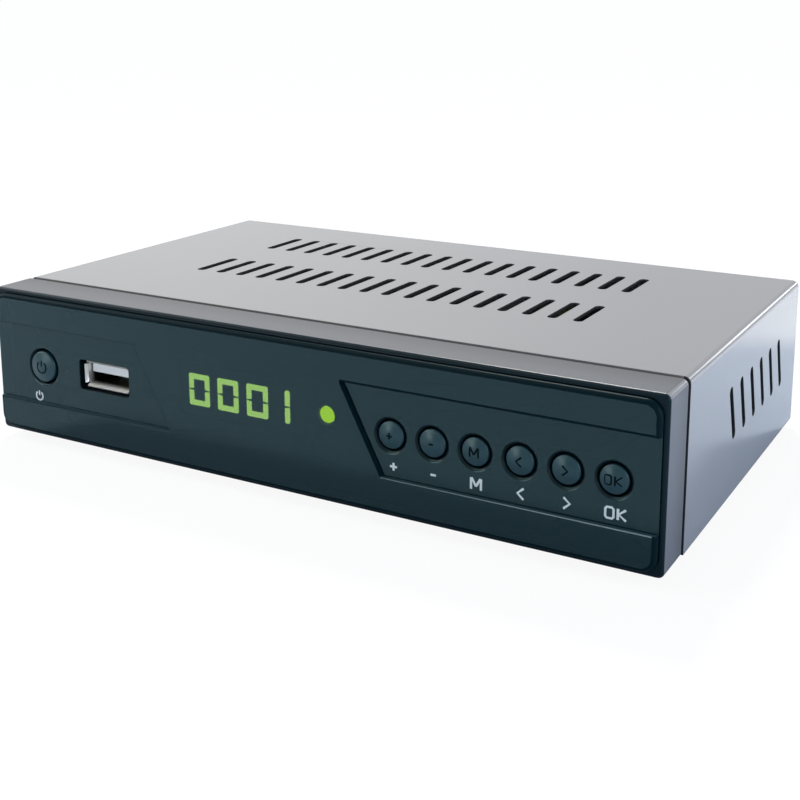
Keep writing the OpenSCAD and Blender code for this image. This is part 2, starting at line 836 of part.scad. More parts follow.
module digit_one() {
  difference() {
    rounded_rect(segment_w, digit_h, segment_r);
    digit_notch(-segment_w / 2 - segment_gap, segment_w / 2 + segment_gap);
  }
}

module display_segments() color("lime") {
  through(display_s - segment_t, display_s)
    for (k = [0:3])
      translate([display_x + (k - 1.5) * digit_pitch, display_z])
        if (k < 3) digit_zero(); else digit_one();
}

module display_spacer() color([0.15, 0.15, 0.15]) {
  half = display_h / 2 - spacer_inset;
  block(display_x, display_w - 2 * spacer_inset, display_s + display_t, front_board_s,
        display_z - half, display_z + half);
}

module status_led() color("limegreen") {
  r = led_d / 2;
  rod(led_x, display_z, led_s, led_s + led_edge, r - led_edge, r);
  rod(led_x, display_z, led_s + led_edge, led_s + led_len, r);
}

module led_spacer() color([0.15, 0.15, 0.15]) {
  rod(led_x, display_z, led_s + led_len, front_board_s, led_d / 2 + led_rim);
}

module ir_receiver() color([0.1, 0.1, 0.1]) {
  block(led_x, ir_w, front_board_s - ir_t, front_board_s, ir_z - ir_w / 2, ir_z + ir_w / 2);
  translate([led_x, front_y + front_board_s - ir_t, ir_z]) sphere(r = ir_r);
}

// Data port

module data_port_shell() color("silver") {
  difference() {
    through(port_s, front_board_s) translate([port_x, mid_z]) difference() {
      rounded_rect(port_w, port_h, port_corner_r);
      rounded_rect(port_w - 2 * port_t, port_h - 2 * port_t, port_corner_r - port_t);
    }
    // Windows of the spring fingers, in the top and the bottom of the shell
    for (x = [-1, 1])
      block(port_x + x * port_w / 5, window_w, window_s, window_s + window_len,
            mid_z - port_h, mid_z + port_h);
  }
}

module data_port_tongue() color("white") {
  inner_w = port_w - 2 * port_t;
  inner_h = port_h - 2 * port_t;
  block(port_x, tongue_w, tongue_s, insulator_s, tongue_z, tongue_z + tongue_t);
  through(insulator_s, front_board_s) translate([port_x, mid_z])
    rounded_rect(inner_w, inner_h, port_corner_r - port_t);
}

module data_port_contacts() color("gold") {
  for (x = [inner_contact_x, outer_contact_x], side = [-1, 1])
    block(port_x + side * x, contact_w, tongue_s + contact_setback, insulator_s,
          tongue_z - contact_t, tongue_z);
}

// Main board

module main_board() color("darkgreen") {
  difference() {
    block(0, main_w, main_s0, main_s1, main_z, main_top_z);
    for (p = standoff_points)
      translate([p[0], front_y + p[1], main_z - slack])
        cylinder(r = screw_r + screw_loose, h = board_t + 2 * slack);
  }
}

module board_standoffs() color("goldenrod") {
  for (p = standoff_points)
    translate([p[0], front_y + p[1], main_z - standoff_h]) difference() {
      cylinder(r = standoff_r, h = standoff_h);
      translate([0, 0, standoff_floor]) cylinder(r = screw_r + screw_gap, h = standoff_h);
    }
}

module main_board_screws() color("silver") {
  for (p = standoff_points)
    translate([p[0], front_y + p[1], 0]) {
      translate([0, 0, main_z - standoff_h + 2 * standoff_floor])
        cylinder(r = screw_r, h = standoff_h + board_t - 2 * standoff_floor);
      translate([0, 0, main_top_z]) cylinder(r1 = screw_head_r, r2 = screw_crown_r, h = screw_head_t);
    }
}

// The connector that carries the front board's lines to the main board
module board_link() color([0.12, 0.12, 0.12]) {
  block(-case_w / 2 + link_edge, link_w, front_board_back_s, main_s0 + link_lap,
        main_top_z, main_top_z + link_h);
}

// A closed can whose lid has a pressed step all round
module tuner_can() color("lightgray") {
  can_x = (can_x0 + can_x1) / 2;
  can_w = can_x1 - can_x0;
  can_s = can_rear_s - can_len;
  lid_z = main_top_z + can_h;
  block(can_x, can_w, can_s, can_rear_s, main_top_z, lid_z - can_step_h);
  block(can_x, can_w - 2 * can_step_w, can_s + can_step_w, can_rear_s - can_step_w, main_top_z, lid_z);
}

// A threaded antenna socket, with a neck between its nut and its free end
module antenna_socket(x) color("gainsboro") {
  difference() {
    rod(x, antenna_z, can_rear_s, tip_s, barrel_r);
    difference() {
      rod(x, antenna_z, neck_s, neck_s + neck_len, barrel_r + slack);
      rod(x, antenna_z, neck_s - slack, neck_s + neck_len + slack, barrel_r - neck_cut);
    }
    rod(x, antenna_z, tip_s - mouth_depth, tip_s + slack, barrel_r - barrel_wall);
  }
}

module antenna_in() antenna_socket(antenna_x);
module antenna_out() antenna_socket(antenna_x + antenna_pitch);

module antenna_insulators() color("ivory") {
  for (k = [0, 1])
    difference() {
      rod(antenna_x + k * antenna_pitch, antenna_z, tip_s - mouth_depth, tip_s - insulator_setback,
          barrel_r - barrel_wall);
      rod(antenna_x + k * antenna_pitch, antenna_z, tip_s - mouth_depth + insulator_floor, tip_s, pin_hole_r);
    }
}

module antenna_nuts() color("silver") {
  for (k = [0, 1])
    difference() {
      translate([antenna_x + k * antenna_pitch, front_y + nut_s, antenna_z]) rotate([-90, 0, 0])
        cylinder(r = nut_af / 2 / cos(30), h = nut_t, $fn = 6);
      rod(antenna_x + k * antenna_pitch, antenna_z, nut_s - slack, neck_s + slack, barrel_r + screw_gap);
    }
}

module antenna_washers() color("silver") {
  for (k = [0, 1])
    difference() {
      rod(antenna_x + k * antenna_pitch, antenna_z, rear_face_s, nut_s, nut_af / 2 + washer_margin);
      rod(antenna_x + k * antenna_pitch, antenna_z, rear_face_s - slack, nut_s + slack,
          barrel_r + 2 * screw_gap);
    }
}

// Rear ports and jacks

// The mouth of the video port, with its two lower corners cut
module video_outline(inset) {
  w = video_w / 2 - inset;
  h = video_h / 2 - inset;
  c = video_cut;
  polygon([[-w, h], [w, h], [w, -h + c], [w - c, -h], [-w + c, -h], [-w, -h + c]]);
}

module video_port_shell() color("silver") {
  through(video_s - video_len, video_s) translate([video_x, video_z]) difference() {
    video_outline(0);
    video_outline(video_t);
  }
}

module video_port_tongue() color([0.1, 0.1, 0.1]) {
  back_s = video_s - video_len;
  through(back_s, back_s + video_back_t) translate([video_x, video_z]) video_outline(video_t);
  block(video_x, video_w - 2 * video_tongue_side, back_s + video_back_t, video_s - video_tongue_setback,
        video_z - video_tongue_t / 2, video_z + video_tongue_t / 2);
}

module av_jack() color([0.85, 0.7, 0.1]) {
  difference() {
    union() {
      block(av_x, av_body_w, rear_inner_s - av_len, rear_inner_s - nest_gap,
            main_top_z, main_top_z + av_body_h);
      rod(av_x, av_z, rear_inner_s - slack, av_s, av_r + av_wall);
    }
    rod(av_x, av_z, av_s - av_len, av_s + slack, av_r);
  }
}

module audio_jack_body() color([0.85, 0.4, 0.1]) {
  difference() {
    union() {
      block(audio_x, audio_w, audio_s - audio_len, audio_s, main_top_z, main_top_z + 2 * audio_rise);
      rod(audio_x, audio_z, audio_s - slack, audio_tip_s - audio_setback,
          audio_r - audio_sleeve_t - screw_gap);
    }
    rod(audio_x, audio_z, audio_s - audio_floor, audio_tip_s, audio_bore_r);
  }
}

module audio_jack_sleeve() color("gold") {
  difference() {
    rod(audio_x, audio_z, audio_s, audio_tip_s, audio_r);
    rod(audio_x, audio_z, audio_s - slack, audio_tip_s + slack, audio_r - audio_sleeve_t);
  }
}

module power_jack_body() color([0.08, 0.08, 0.08]) {
  difference() {
    block(power_jack_x, jack_w, jack_s - jack_len, jack_s, main_top_z, main_top_z + jack_h);
    rod(power_jack_x, jack_z, jack_s - jack_depth, jack_s + slack, jack_hole_r);
  }
}

module power_jack_pin() color("silver") {
  tip = jack_s - jack_pin_setback;
  rod(power_jack_x, jack_z, jack_s - jack_depth, tip, jack_pin_r);
  translate([power_jack_x, front_y + tip, jack_z]) sphere(r = jack_pin_r);
}

// Parts on the main board

module processor() color([0.07, 0.07, 0.07]) {
  block(chip_x, chip_w, chip_s - chip_w / 2, chip_s + chip_w / 2, main_top_z, main_top_z + chip_t);
}

module heat_sink() color("dimgray") {
  z0 = main_top_z + chip_t;
  block(chip_x, sink_w, chip_s - sink_w / 2, chip_s + sink_w / 2, z0, z0 + sink_base_t);
  for (k = [0:sink_fins - 1])
    block(chip_x + (k / (sink_fins - 1) - 0.5) * (sink_w - fin_t), fin_t,
          chip_s - sink_w / 2, chip_s + sink_w / 2, z0, z0 + sink_h);
}

module memory_chips() color([0.07, 0.07, 0.07]) {
  for (side = [-1, 1])
    block(chip_x + side * memory_dx, memory_w, chip_s - memory_len / 2, chip_s + memory_len / 2,
          main_top_z, main_top_z + memory_t);
}

// A can capacitor with the rolled groove near its foot
module capacitor(x, s, r, h) {
  translate([x, front_y + s, main_top_z]) difference() {
    cylinder(r = r, h = h);
    translate([0, 0, cap_groove_h]) rotate_extrude()
      translate([r + cap_groove_r / 2, 0]) circle(r = cap_groove_r);
    translate([0, 0, h - cap_dip]) cylinder(r = r - cap_rim, h = slack);
  }
}

module capacitors() color("midnightblue") {
  jack_row = jack_s - jack_len - part_gap - large_cap_r;
  video_row = video_s - video_len - part_gap - small_cap_r;
  inductor_row = chip_s - (inductor_pitch + inductor_w) / 2 - part_gap - small_cap_r;
  for (side = [-1, 1]) {
    capacitor(power_jack_x + side * cap_pitch / 2, jack_row, large_cap_r, large_cap_h);
    capacitor(video_x + side * cap_pitch / 2, video_row, small_cap_r, small_cap_h);
  }
  capacitor(inductor_x, inductor_row, small_cap_r, small_cap_h);
}

module inductors() color([0.2, 0.2, 0.2]) {
  for (side = [-1, 1])
    translate([inductor_x, front_y + chip_s + side * inductor_pitch / 2, main_top_z])
      linear_extrude(inductor_h) intersection() {
        square(inductor_w, center = true);
        circle(r = inductor_r);
      }
}

module crystal() color("silver") {
  row = chip_s - sink_w / 2 - part_gap - crystal_w / 2;
  translate([chip_x - sink_w / 2, front_y + row, main_top_z])
    linear_extrude(crystal_h) rotate(90) slot(crystal_len, crystal_w);
}

top_cover();
chassis_base();
front_bezel();
front_plate();
rubber_feet();
power_button();
plus_button();
minus_button();
menu_button();
left_button();
right_button();
ok_button();
power_actuator();
plus_actuator();
minus_actuator();
menu_actuator();
left_actuator();
right_actuator();
ok_actuator();
switch_bodies();
front_board();
front_board_screws();
display_body();
display_segments();
display_spacer();
status_led();
led_spacer();
ir_receiver();
data_port_shell();
data_port_tongue();
data_port_contacts();
main_board();
board_standoffs();
main_board_screws();
board_link();
tuner_can();
antenna_in();
antenna_out();
antenna_insulators();
antenna_nuts();
antenna_washers();
video_port_shell();
video_port_tongue();
av_jack();
audio_jack_body();
audio_jack_sleeve();
power_jack_body();
power_jack_pin();
processor();
heat_sink();
memory_chips();
capacitors();
inductors();
crystal();
cover_screws();
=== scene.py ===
import json
import math

import bmesh
import bpy
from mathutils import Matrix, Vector

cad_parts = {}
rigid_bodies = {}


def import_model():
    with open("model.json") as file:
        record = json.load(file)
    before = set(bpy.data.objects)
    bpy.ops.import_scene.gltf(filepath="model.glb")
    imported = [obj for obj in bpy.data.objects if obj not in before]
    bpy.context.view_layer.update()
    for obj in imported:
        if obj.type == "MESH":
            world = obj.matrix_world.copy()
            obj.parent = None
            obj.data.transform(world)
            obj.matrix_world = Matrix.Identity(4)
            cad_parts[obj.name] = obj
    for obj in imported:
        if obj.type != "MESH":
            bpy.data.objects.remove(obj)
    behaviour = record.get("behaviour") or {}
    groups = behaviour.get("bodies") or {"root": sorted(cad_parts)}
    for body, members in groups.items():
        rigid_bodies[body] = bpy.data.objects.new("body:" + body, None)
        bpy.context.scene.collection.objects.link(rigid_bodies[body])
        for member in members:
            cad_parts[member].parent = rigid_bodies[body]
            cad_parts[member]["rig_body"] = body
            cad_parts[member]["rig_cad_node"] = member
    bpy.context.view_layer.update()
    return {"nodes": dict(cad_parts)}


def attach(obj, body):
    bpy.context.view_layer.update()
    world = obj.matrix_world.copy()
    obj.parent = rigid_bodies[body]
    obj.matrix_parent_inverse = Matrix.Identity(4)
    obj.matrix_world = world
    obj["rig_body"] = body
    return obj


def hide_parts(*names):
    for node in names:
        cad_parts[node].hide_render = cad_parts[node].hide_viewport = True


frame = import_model()
nodes = frame["nodes"]
print("frame loaded:", len(nodes), "nodes")

# Lengths are millimetres up to the stage: across from the middle, behind the raised front, up from the floor
mm = 0.001
frontY = -53
midZ = 18.5
seed = 0.2  # size of the plane that is merged to a line's first point
weld = 0.001  # points closer than this are merged
slack = 0.01  # how far a point may lie off the place it is picked by
skin = 0.05  # how far a face or edge may lie off a surface and still count as part of it
past = 1  # how far a cutter runs on beyond what it cuts
lap = 0.5  # how far joined shapes reach into each other
facing = 0.97  # a face whose normal has more than this along an axis lies flat across it
square = 0.999  # the same, with no tilt at all

# What the bezel, the plate, the port and the buttons share
fieldS = 0.9
keyNames = ("plus", "minus", "menu", "left", "right", "ok")
firstKeyX, keyPitch = 24.8, 8.8
keyXs = [firstKeyX + keyPitch * k for k in range(len(keyNames))]
powerX, portX = -63.8, -46.2
keyHole, powerHole = 3.05, 3.8  # radii
buttonHoles = [(x, keyHole) for x in keyXs] + [(powerX, powerHole)]
portHole = {"halfX": 6.9, "halfZ": 3.3, "radius": 0.7, "x": portX}


def at(x, s, z):
    return Vector((x, frontY + s, z)) * mm


def placeOf(face):
    return face.center.x / mm, face.center.y / mm - frontY, face.center.z / mm


# Selection


def clearSelection():
    if bpy.context.object and bpy.context.object.mode == "EDIT":
        bpy.ops.object.mode_set(mode="OBJECT")
    bpy.ops.object.select_all(action="DESELECT")


def activate(piece):
    clearSelection()
    piece.select_set(True)
    bpy.context.view_layer.objects.active = piece


def pick(piece, kind, test):
    activate(piece)
    bpy.ops.object.mode_set(mode="EDIT")
    bpy.ops.mesh.select_mode(type=kind)
    bpy.ops.mesh.select_all(action="DESELECT")
    mesh = bmesh.from_edit_mesh(piece.data)
    for item in {"FACE": mesh.faces, "EDGE": mesh.edges, "VERT": mesh.verts}[kind]:
        if test(item):
            item.select_set(True)
    mesh.select_flush_mode()
    bmesh.update_edit_mesh(piece.data)


def leaveEdit():
    bpy.ops.object.mode_set(mode="OBJECT")


def alongDepth(edge):
    a, b = (v.co for v in edge.verts)
    return abs(a.y - b.y) > slack * mm and abs(a.x - b.x) + abs(a.z - b.z) < slack * mm


def atDepth(s):
    return lambda item: all(abs(v.co.y - at(0, s, 0).y) < slack * mm for v in item.verts)


# Starting shapes


def keepShape(name):
    piece = bpy.context.object
    piece.name = name
    bpy.ops.object.transform_apply(location=True, rotation=True, scale=True)
    return piece


def addBlock(name, xs, ss, zs):
    clearSelection()
    low, high = at(xs[0], ss[0], zs[0]), at(xs[1], ss[1], zs[1])
    bpy.ops.mesh.primitive_cube_add(size=1, location=(low + high) / 2)
    bpy.context.object.scale = high - low
    return keepShape(name)


def roundedBlock(name, halfX, halfZ, ss, radius, segments=8, x=0, z=midZ):
    piece = addBlock(name, (x - halfX, x + halfX), ss, (z - halfZ, z + halfZ))
    roundEdges(piece, alongDepth, radius, segments)
    return piece


def addRod(name, x, z, ss, radius, frontRadius=None, sides=64):
    clearSelection()
    bpy.ops.mesh.primitive_cone_add(
        vertices=sides, radius1=radius * mm, radius2=(frontRadius or radius) * mm,
        depth=(ss[1] - ss[0]) * mm, location=at(x, sum(ss) / 2, z), rotation=(math.pi / 2, 0, 0))
    return keepShape(name)


# A plane merged to one point, moved by the shift and extruded as the points go on, and left in edit mode
def drawLine(name, place, points, shift=(0, 0, 0)):
    clearSelection()
    bpy.ops.mesh.primitive_plane_add(size=seed * mm, location=place)
    piece = keepShape(name)
    bpy.ops.object.mode_set(mode="EDIT")
    bpy.ops.mesh.select_mode(type="VERT")
    bpy.ops.mesh.select_all(action="SELECT")
    bpy.ops.mesh.merge(type="CENTER")
    bpy.ops.transform.translate(value=Vector(shift) * mm)
    for start, end in zip(points, points[1:]):
        step = Vector([b - a for a, b in zip(start, end)])
        bpy.ops.mesh.extrude_region_move(TRANSFORM_OT_translate={"value": step * mm})
    bpy.ops.mesh.select_all(action="SELECT")
    return piece


# A profile of radius and distance along the axis, spun round an axis that is upright or runs along the depth
def spinPiece(name, centre, profile, steps=64, upright=False):
    x, s, z = centre
    points = [(r, 0, a) if upright else (r, a, 0) for r, a in profile]
    firstR, *along = points[0]
    piece = drawLine(name, at(x + firstR, s, z), points, (0, *along))
    bpy.ops.mesh.spin(steps=steps, angle=2 * math.pi, center=at(x, s, z),
                      axis=(0, 0, 1) if upright else (0, 1, 0))
    weldAll(piece)
    return piece


def arc(centreR, centreA, radius, first, last, count):
    steps = [math.radians(first + (last - first) * k / count) for k in range(count + 1)]
    return [(centreR + radius * math.cos(t), centreA + radius * math.sin(t)) for t in steps]


# Shaping


def weldAll(piece):
    pick(piece, "VERT", lambda v: True)
    bpy.ops.mesh.remove_doubles(threshold=weld * mm)
    bpy.ops.mesh.normals_make_consistent(inside=False)
    leaveEdit()


def moveTo(piece, place, rotation=(0, 0, 0)):
    activate(piece)
    piece.location = place
    piece.rotation_euler = rotation
    bpy.ops.object.transform_apply(location=True, rotation=True, scale=True)


def roundEdges(piece, test, radius, segments):
    pick(piece, "EDGE", test)
    bpy.ops.mesh.bevel(offset_type="OFFSET", offset=radius * mm, segments=segments, profile=0.5,
                       affect="EDGES", clamp_overlap=False)
    leaveEdit()


def applyTool(piece, kind, **settings):
    activate(piece)
    tool = piece.modifiers.new(kind.lower(), kind)
    for label, value in settings.items():
        setattr(tool, label, value)
    bpy.ops.object.modifier_apply(modifier=tool.name)


def combine(piece, other, operation):
    applyTool(piece, "BOOLEAN", operation=operation, solver="MANIFOLD", object=other, material_mode="TRANSFER")
    bpy.data.objects.remove(other, do_unlink=True)


def carve(piece, *cutters):
    for cutter in cutters:
        combine(piece, cutter, "DIFFERENCE")


def unite(piece, *others):
    for other in others:
        combine(piece, other, "UNION")


def repeat(piece, count, step):
    applyTool(piece, "ARRAY", count=count, use_relative_offset=False, use_constant_offset=True,
              constant_offset_displace=Vector(step) * mm)


# The piece, which stands at the first place, and a copy of it at each other place
def copyTo(piece, places):
    pieces = [piece]
    for place in places[1:]:
        activate(piece)
        bpy.ops.object.duplicate(linked=False)
        moveTo(bpy.context.object, (Vector(place) - Vector(places[0])) * mm)
        pieces.append(bpy.context.object)
    return pieces


def joinPieces(name, parts):
    clearSelection()
    for part in parts:
        part.select_set(True)
    bpy.context.view_layer.objects.active = parts[0]
    bpy.ops.object.join()
    piece = bpy.context.object
    piece.name = name
    return piece


def soften(piece, width, segments=2, angle=35):
    applyTool(piece, "BEVEL", width=width * mm, segments=segments, limit_method="ANGLE",
              angle_limit=math.radians(angle), use_clamp_overlap=False)


def smooth(piece, angle=32, flat=None):
    activate(piece)
    bpy.ops.object.shade_smooth_by_angle(angle=math.radians(angle))
    if flat:
        for face in piece.data.polygons:
            face.use_smooth = not flat(face)
    applyTool(piece, "WEIGHTED_NORMAL", keep_sharp=True)


def finishPiece(piece, body, slot, *replaced):
    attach(piece, body)
    if replaced:
        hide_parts(*replaced)
    return piece


# Nodes


def setInputs(node, values):
    for label, value in values.items():
        node.inputs[label].default_value = value


def addNode(tree, kind, values=None, **settings):
    node = tree.nodes.new("ShaderNode" + kind)
    for label, value in settings.items():
        setattr(node, label, value)
    setInputs(node, values or {})
    return node


# Each link is a node, its output, the node that it feeds and the input there
def wire(tree, *links):
    for source, output, target, entry in links:
        tree.links.new(source.outputs[output], target.inputs[entry])


# Shader groups shared by the finishes


def newGroup(name, inputs, output):
    group = bpy.data.node_groups.new(name, "ShaderNodeTree")
    for label, kind, value in inputs:
        socket = group.interface.new_socket(label, in_out="INPUT", socket_type="NodeSocket" + kind)
        if value is not None:
            socket.default_value = value
    group.interface.new_socket(output[0], in_out="OUTPUT", socket_type="NodeSocket" + output[1])
    return group, group.nodes.new("NodeGroupInput"), group.nodes.new("NodeGroupOutput")


# Slow noise, spread over the range that feeds the level's two ends
def addDrift(group, given):
    noise = addNode(group, "TexNoise", {"Detail": 1})
    level = addNode(group, "MapRange", {"From Min": 0.1, "From Max": 0.9})
    wire(group, (given, "Vector", noise, "Vector"), (given, "Size", noise, "Scale"),
         (noise, "Fac", level, "Value"))
    return level


def makeToneDrift():
    group, given, result = newGroup("toneDrift", (
        ("Vector", "Vector", None), ("Colour", "Color", (0.5, 0.5, 0.5, 1)), ("Spread", "Float", 0.05),
        ("Size", "Float", 30.0)), ("Colour", "Color"))
    level = addDrift(group, given)
    low = addNode(group, "Math", {0: 1}, operation="SUBTRACT")
    high = addNode(group, "Math", {0: 1}, operation="ADD")
    tint = addNode(group, "VectorMath", operation="SCALE")
    wire(group, (given, "Spread", low, 1), (given, "Spread", high, 1), (low, 0, level, "To Min"),
         (high, 0, level, "To Max"), (given, "Colour", tint, 0), (level, "Result", tint, "Scale"),
         (tint, "Vector", result, "Colour"))
    return group


def makeRoughDrift():
    group, given, result = newGroup("roughDrift", (
        ("Vector", "Vector", None), ("Low", "Float", 0.3), ("High", "Float", 0.4), ("Size", "Float", 60.0)),
        ("Roughness", "Float"))
    level = addDrift(group, given)
    wire(group, (given, "Low", level, "To Min"), (given, "High", level, "To Max"),
         (level, "Result", result, "Roughness"))
    return group


def makeFineGrain():
    group, given, result = newGroup("fineGrain", (
        ("Vector", "Vector", None), ("Size", "Float", 2500.0)), ("Height", "Float"))
    noise = addNode(group, "TexNoise", {"Detail": 2})
    wire(group, (given, "Vector", noise, "Vector"), (given, "Size", noise, "Scale"),
         (noise, "Fac", result, "Height"))
    return group


# Painted shade: the colour goes over to a dark one from the first depth to the last
def makeThroatShade():
    group, given, result = newGroup("throatShade", (
        ("Vector", "Vector", None), ("Colour", "Color", (0.5, 0.5, 0.5, 1)),
        ("Dark", "Color", (0.02, 0.02, 0.02, 1)), ("First", "Float", 0.0), ("Last", "Float", 1.0)),
        ("Colour", "Color"))
    split = addNode(group, "SeparateXYZ")
    level = addNode(group, "MapRange")
    blend = addNode(group, "Mix", data_type="RGBA")
    wire(group, (given, "Vector", split, "Vector"), (split, "Y", level, "Value"),
         (given, "First", level, "From Min"), (given, "Last", level, "From Max"),
         (level, "Result", blend, "Factor"), (given, "Colour", blend, "A"), (given, "Dark", blend, "B"),
         (blend, "Result", result, "Colour"))
    return group


toneDrift, roughDrift = makeToneDrift(), makeRoughDrift()
fineGrain, throatShade = makeFineGrain(), makeThroatShade()

# Finishes: colour, how far it drifts and how finely, roughness range, and grain as fineness and depth
finishes = {
    "coverPaint": {"colour": (0.196, 0.193, 0.191), "drift": (0.02, 26), "rough": (0.285, 0.32),
                   "specular": 0.6, "coat": (1, 0.08), "grain": (2200, 0.001)},
    # The band's paint darkens towards the seam behind it, as painted shade
    "bezelPaint": {"colour": (0.118, 0.121, 0.127), "drift": (0.02, 30), "rough": (0.32, 0.36),
                   "specular": 0.3, "paintedShade": (4.5, 11, (0.082, 0.083, 0.087)), "grain": (2200, 0.002)},
    # Painted highlight: a paler, glossier copy of the band paint for its top corners
    "bandEdgeHighlight": {"colour": (0.16, 0.163, 0.168), "drift": (0.02, 30), "rough": (0.285, 0.32),
                 "specular": 0.6, "coat": (1, 0.1), "grain": (2200, 0.001)},
    "seamShade": {"colour": (0.19, 0.18, 0.175), "drift": (0.04, 60), "rough": (0.5, 0.6),
                  "specular": 0.1},
    "rimPlastic": {"colour": (0.003, 0.012, 0.016), "drift": (0.04, 60), "rough": (0.30, 0.34),
                   "specular": 0.1},
    # Painted shade on the walls of the plate's holes
    "holeShade": {"colour": (0.0012, 0.004, 0.006), "drift": (0.04, 60), "rough": (0.4, 0.5),
                  "specular": 0.05},
    "mouthEdge": {"colour": (0.002, 0.008, 0.011), "drift": (0.04, 60), "rough": (0.3, 0.34),
                  "specular": 0.2, "tint": (0.7, 1, 0.95)},
    # Black moulding on the bezel, and painted shade inside the cover, in its slots and at the side parts of its
    # front edge
    "blackMouldAndPaintedShade": {"colour": (0.010, 0.011, 0.013), "drift": (0.1, 60), "rough": (0.55, 0.7),
                    "grain": (2400, 0.01)},
    "smokedPlastic": {"colour": (0.0008, 0.008, 0.011), "drift": (0.03, 22), "rough": (0.10, 0.14),
                      "specular": 0.6, "alpha": 0.88, "tint": (0.64, 1, 0.96)},
    "smokedEdge": {"colour": (0.002, 0.010, 0.013), "drift": (0.03, 22), "rough": (0.33, 0.37),
                   "specular": 0.03},
    # Painted highlight for the edge below the right field
    "stepEdgeHighlight": {"colour": (0.18, 0.225, 0.24), "drift": (0.03, 22), "rough": (0.18, 0.22),
                 "specular": 0.6},
    # Painted tone on the fields' lower ledges, paler than the plate so that they render like the field
    "ledgeShade": {"colour": (0.018, 0.043, 0.051), "drift": (0.03, 22), "rough": (0.4, 0.5),
                   "specular": 0.08},
    "capPlastic": {"colour": (0.007, 0.030, 0.038), "drift": (0.04, 240), "rough": (0.285, 0.32),
                   "specular": 0.5, "tint": (0.75, 1, 0.98)},
    # Painted shade in the signs sunk into the caps
    "sunkSignShade": {"colour": (0.004, 0.015, 0.019), "drift": (0.04, 240), "rough": (0.5, 0.6),
                 "specular": 0.1},
    # The port's steel darkens inside its throat, as painted shade
    "shellSteel": {"colour": (0.86, 0.82, 0.75), "drift": (0.04, 300), "rough": (0.20, 0.26),
                   "metallic": 0.65, "paintedShade": (2.9, 4.3, (0.022, 0.023, 0.017))},
    "pinPlastic": {"colour": (0.22, 0.03, 0.025), "drift": (0.06, 200), "rough": (0.35, 0.45),
                   "grain": (3000, 0.004)},
    "signInk": {"colour": (0.58, 0.62, 0.62), "drift": (0.04, 400), "rough": (0.5, 0.6),
                "grain": (6000, 0.002)},
    "footRubber": {"colour": (0.018, 0.018, 0.019), "drift": (0.15, 220), "rough": (0.7, 0.85),
                   "grain": (3500, 0.03)},
    "blackMoulding": {"colour": (0.014, 0.014, 0.015), "drift": (0.12, 160), "rough": (0.4, 0.55),
                      "grain": (4200, 0.006)},
    "baseSteel": {"colour": (0.50, 0.51, 0.53), "drift": (0.1, 90), "rough": (0.34, 0.5),
                  "metallic": 0.9, "grain": (1400, 0.006)},
    "portSteel": {"colour": (0.72, 0.72, 0.73), "drift": (0.05, 300), "rough": (0.18, 0.26),
                  "metallic": 1, "grain": (2200, 0.004)},
    "socketNickel": {"colour": (0.66, 0.64, 0.60), "drift": (0.06, 300), "rough": (0.28, 0.36),
                     "metallic": 1, "grain": (2600, 0.004)},
    "screwSteel": {"colour": (0.58, 0.58, 0.60), "drift": (0.08, 260), "rough": (0.28, 0.38),
                   "metallic": 1, "grain": (2600, 0.005)},
    "whiteMoulding": {"colour": (0.80, 0.80, 0.78), "drift": (0.03, 200), "rough": (0.35, 0.45),
                      "grain": (3600, 0.004)},
    "contactGold": {"colour": (0.82, 0.60, 0.24), "drift": (0.06, 300), "rough": (0.18, 0.26),
                    "metallic": 1, "grain": (2600, 0.003)},
    "standoffBrass": {"colour": (0.66, 0.48, 0.20), "drift": (0.08, 200), "rough": (0.3, 0.42),
                      "metallic": 1, "grain": (2200, 0.005)},
    "yellowMoulding": {"colour": (0.74, 0.52, 0.03), "drift": (0.05, 180), "rough": (0.38, 0.48),
                       "grain": (3800, 0.005)},
    "orangeMoulding": {"colour": (0.46, 0.13, 0.015), "drift": (0.05, 180), "rough": (0.38, 0.48),
                       "grain": (3800, 0.005)},
    "boardLaminate": {"colour": (0.015, 0.085, 0.035), "drift": (0.35, 340), "rough": (0.28, 0.4),
                      "grain": (900, 0.01)},
    "sinkAluminium": {"colour": (0.60, 0.61, 0.63), "drift": (0.06, 140), "rough": (0.35, 0.5),
                      "metallic": 1, "grain": (1800, 0.006)},
    "capSleeve": {"colour": (0.012, 0.016, 0.05), "drift": (0.1, 160), "rough": (0.28, 0.36),
                  "grain": (1500, 0.004)},
    "digitGlow": {"colour": (0.10, 0.20, 0.05), "drift": (0.05, 300), "rough": (0.4, 0.5),
                  "grain": (2000, 0.002), "glow": ((0.31, 0.54, 0.11), 58)},
    "lampGlow": {"colour": (0.10, 0.20, 0.04), "drift": (0.05, 300), "rough": (0.3, 0.4),
                 "grain": (2000, 0.002), "glow": ((0.29, 0.55, 0.0), 62)},
}


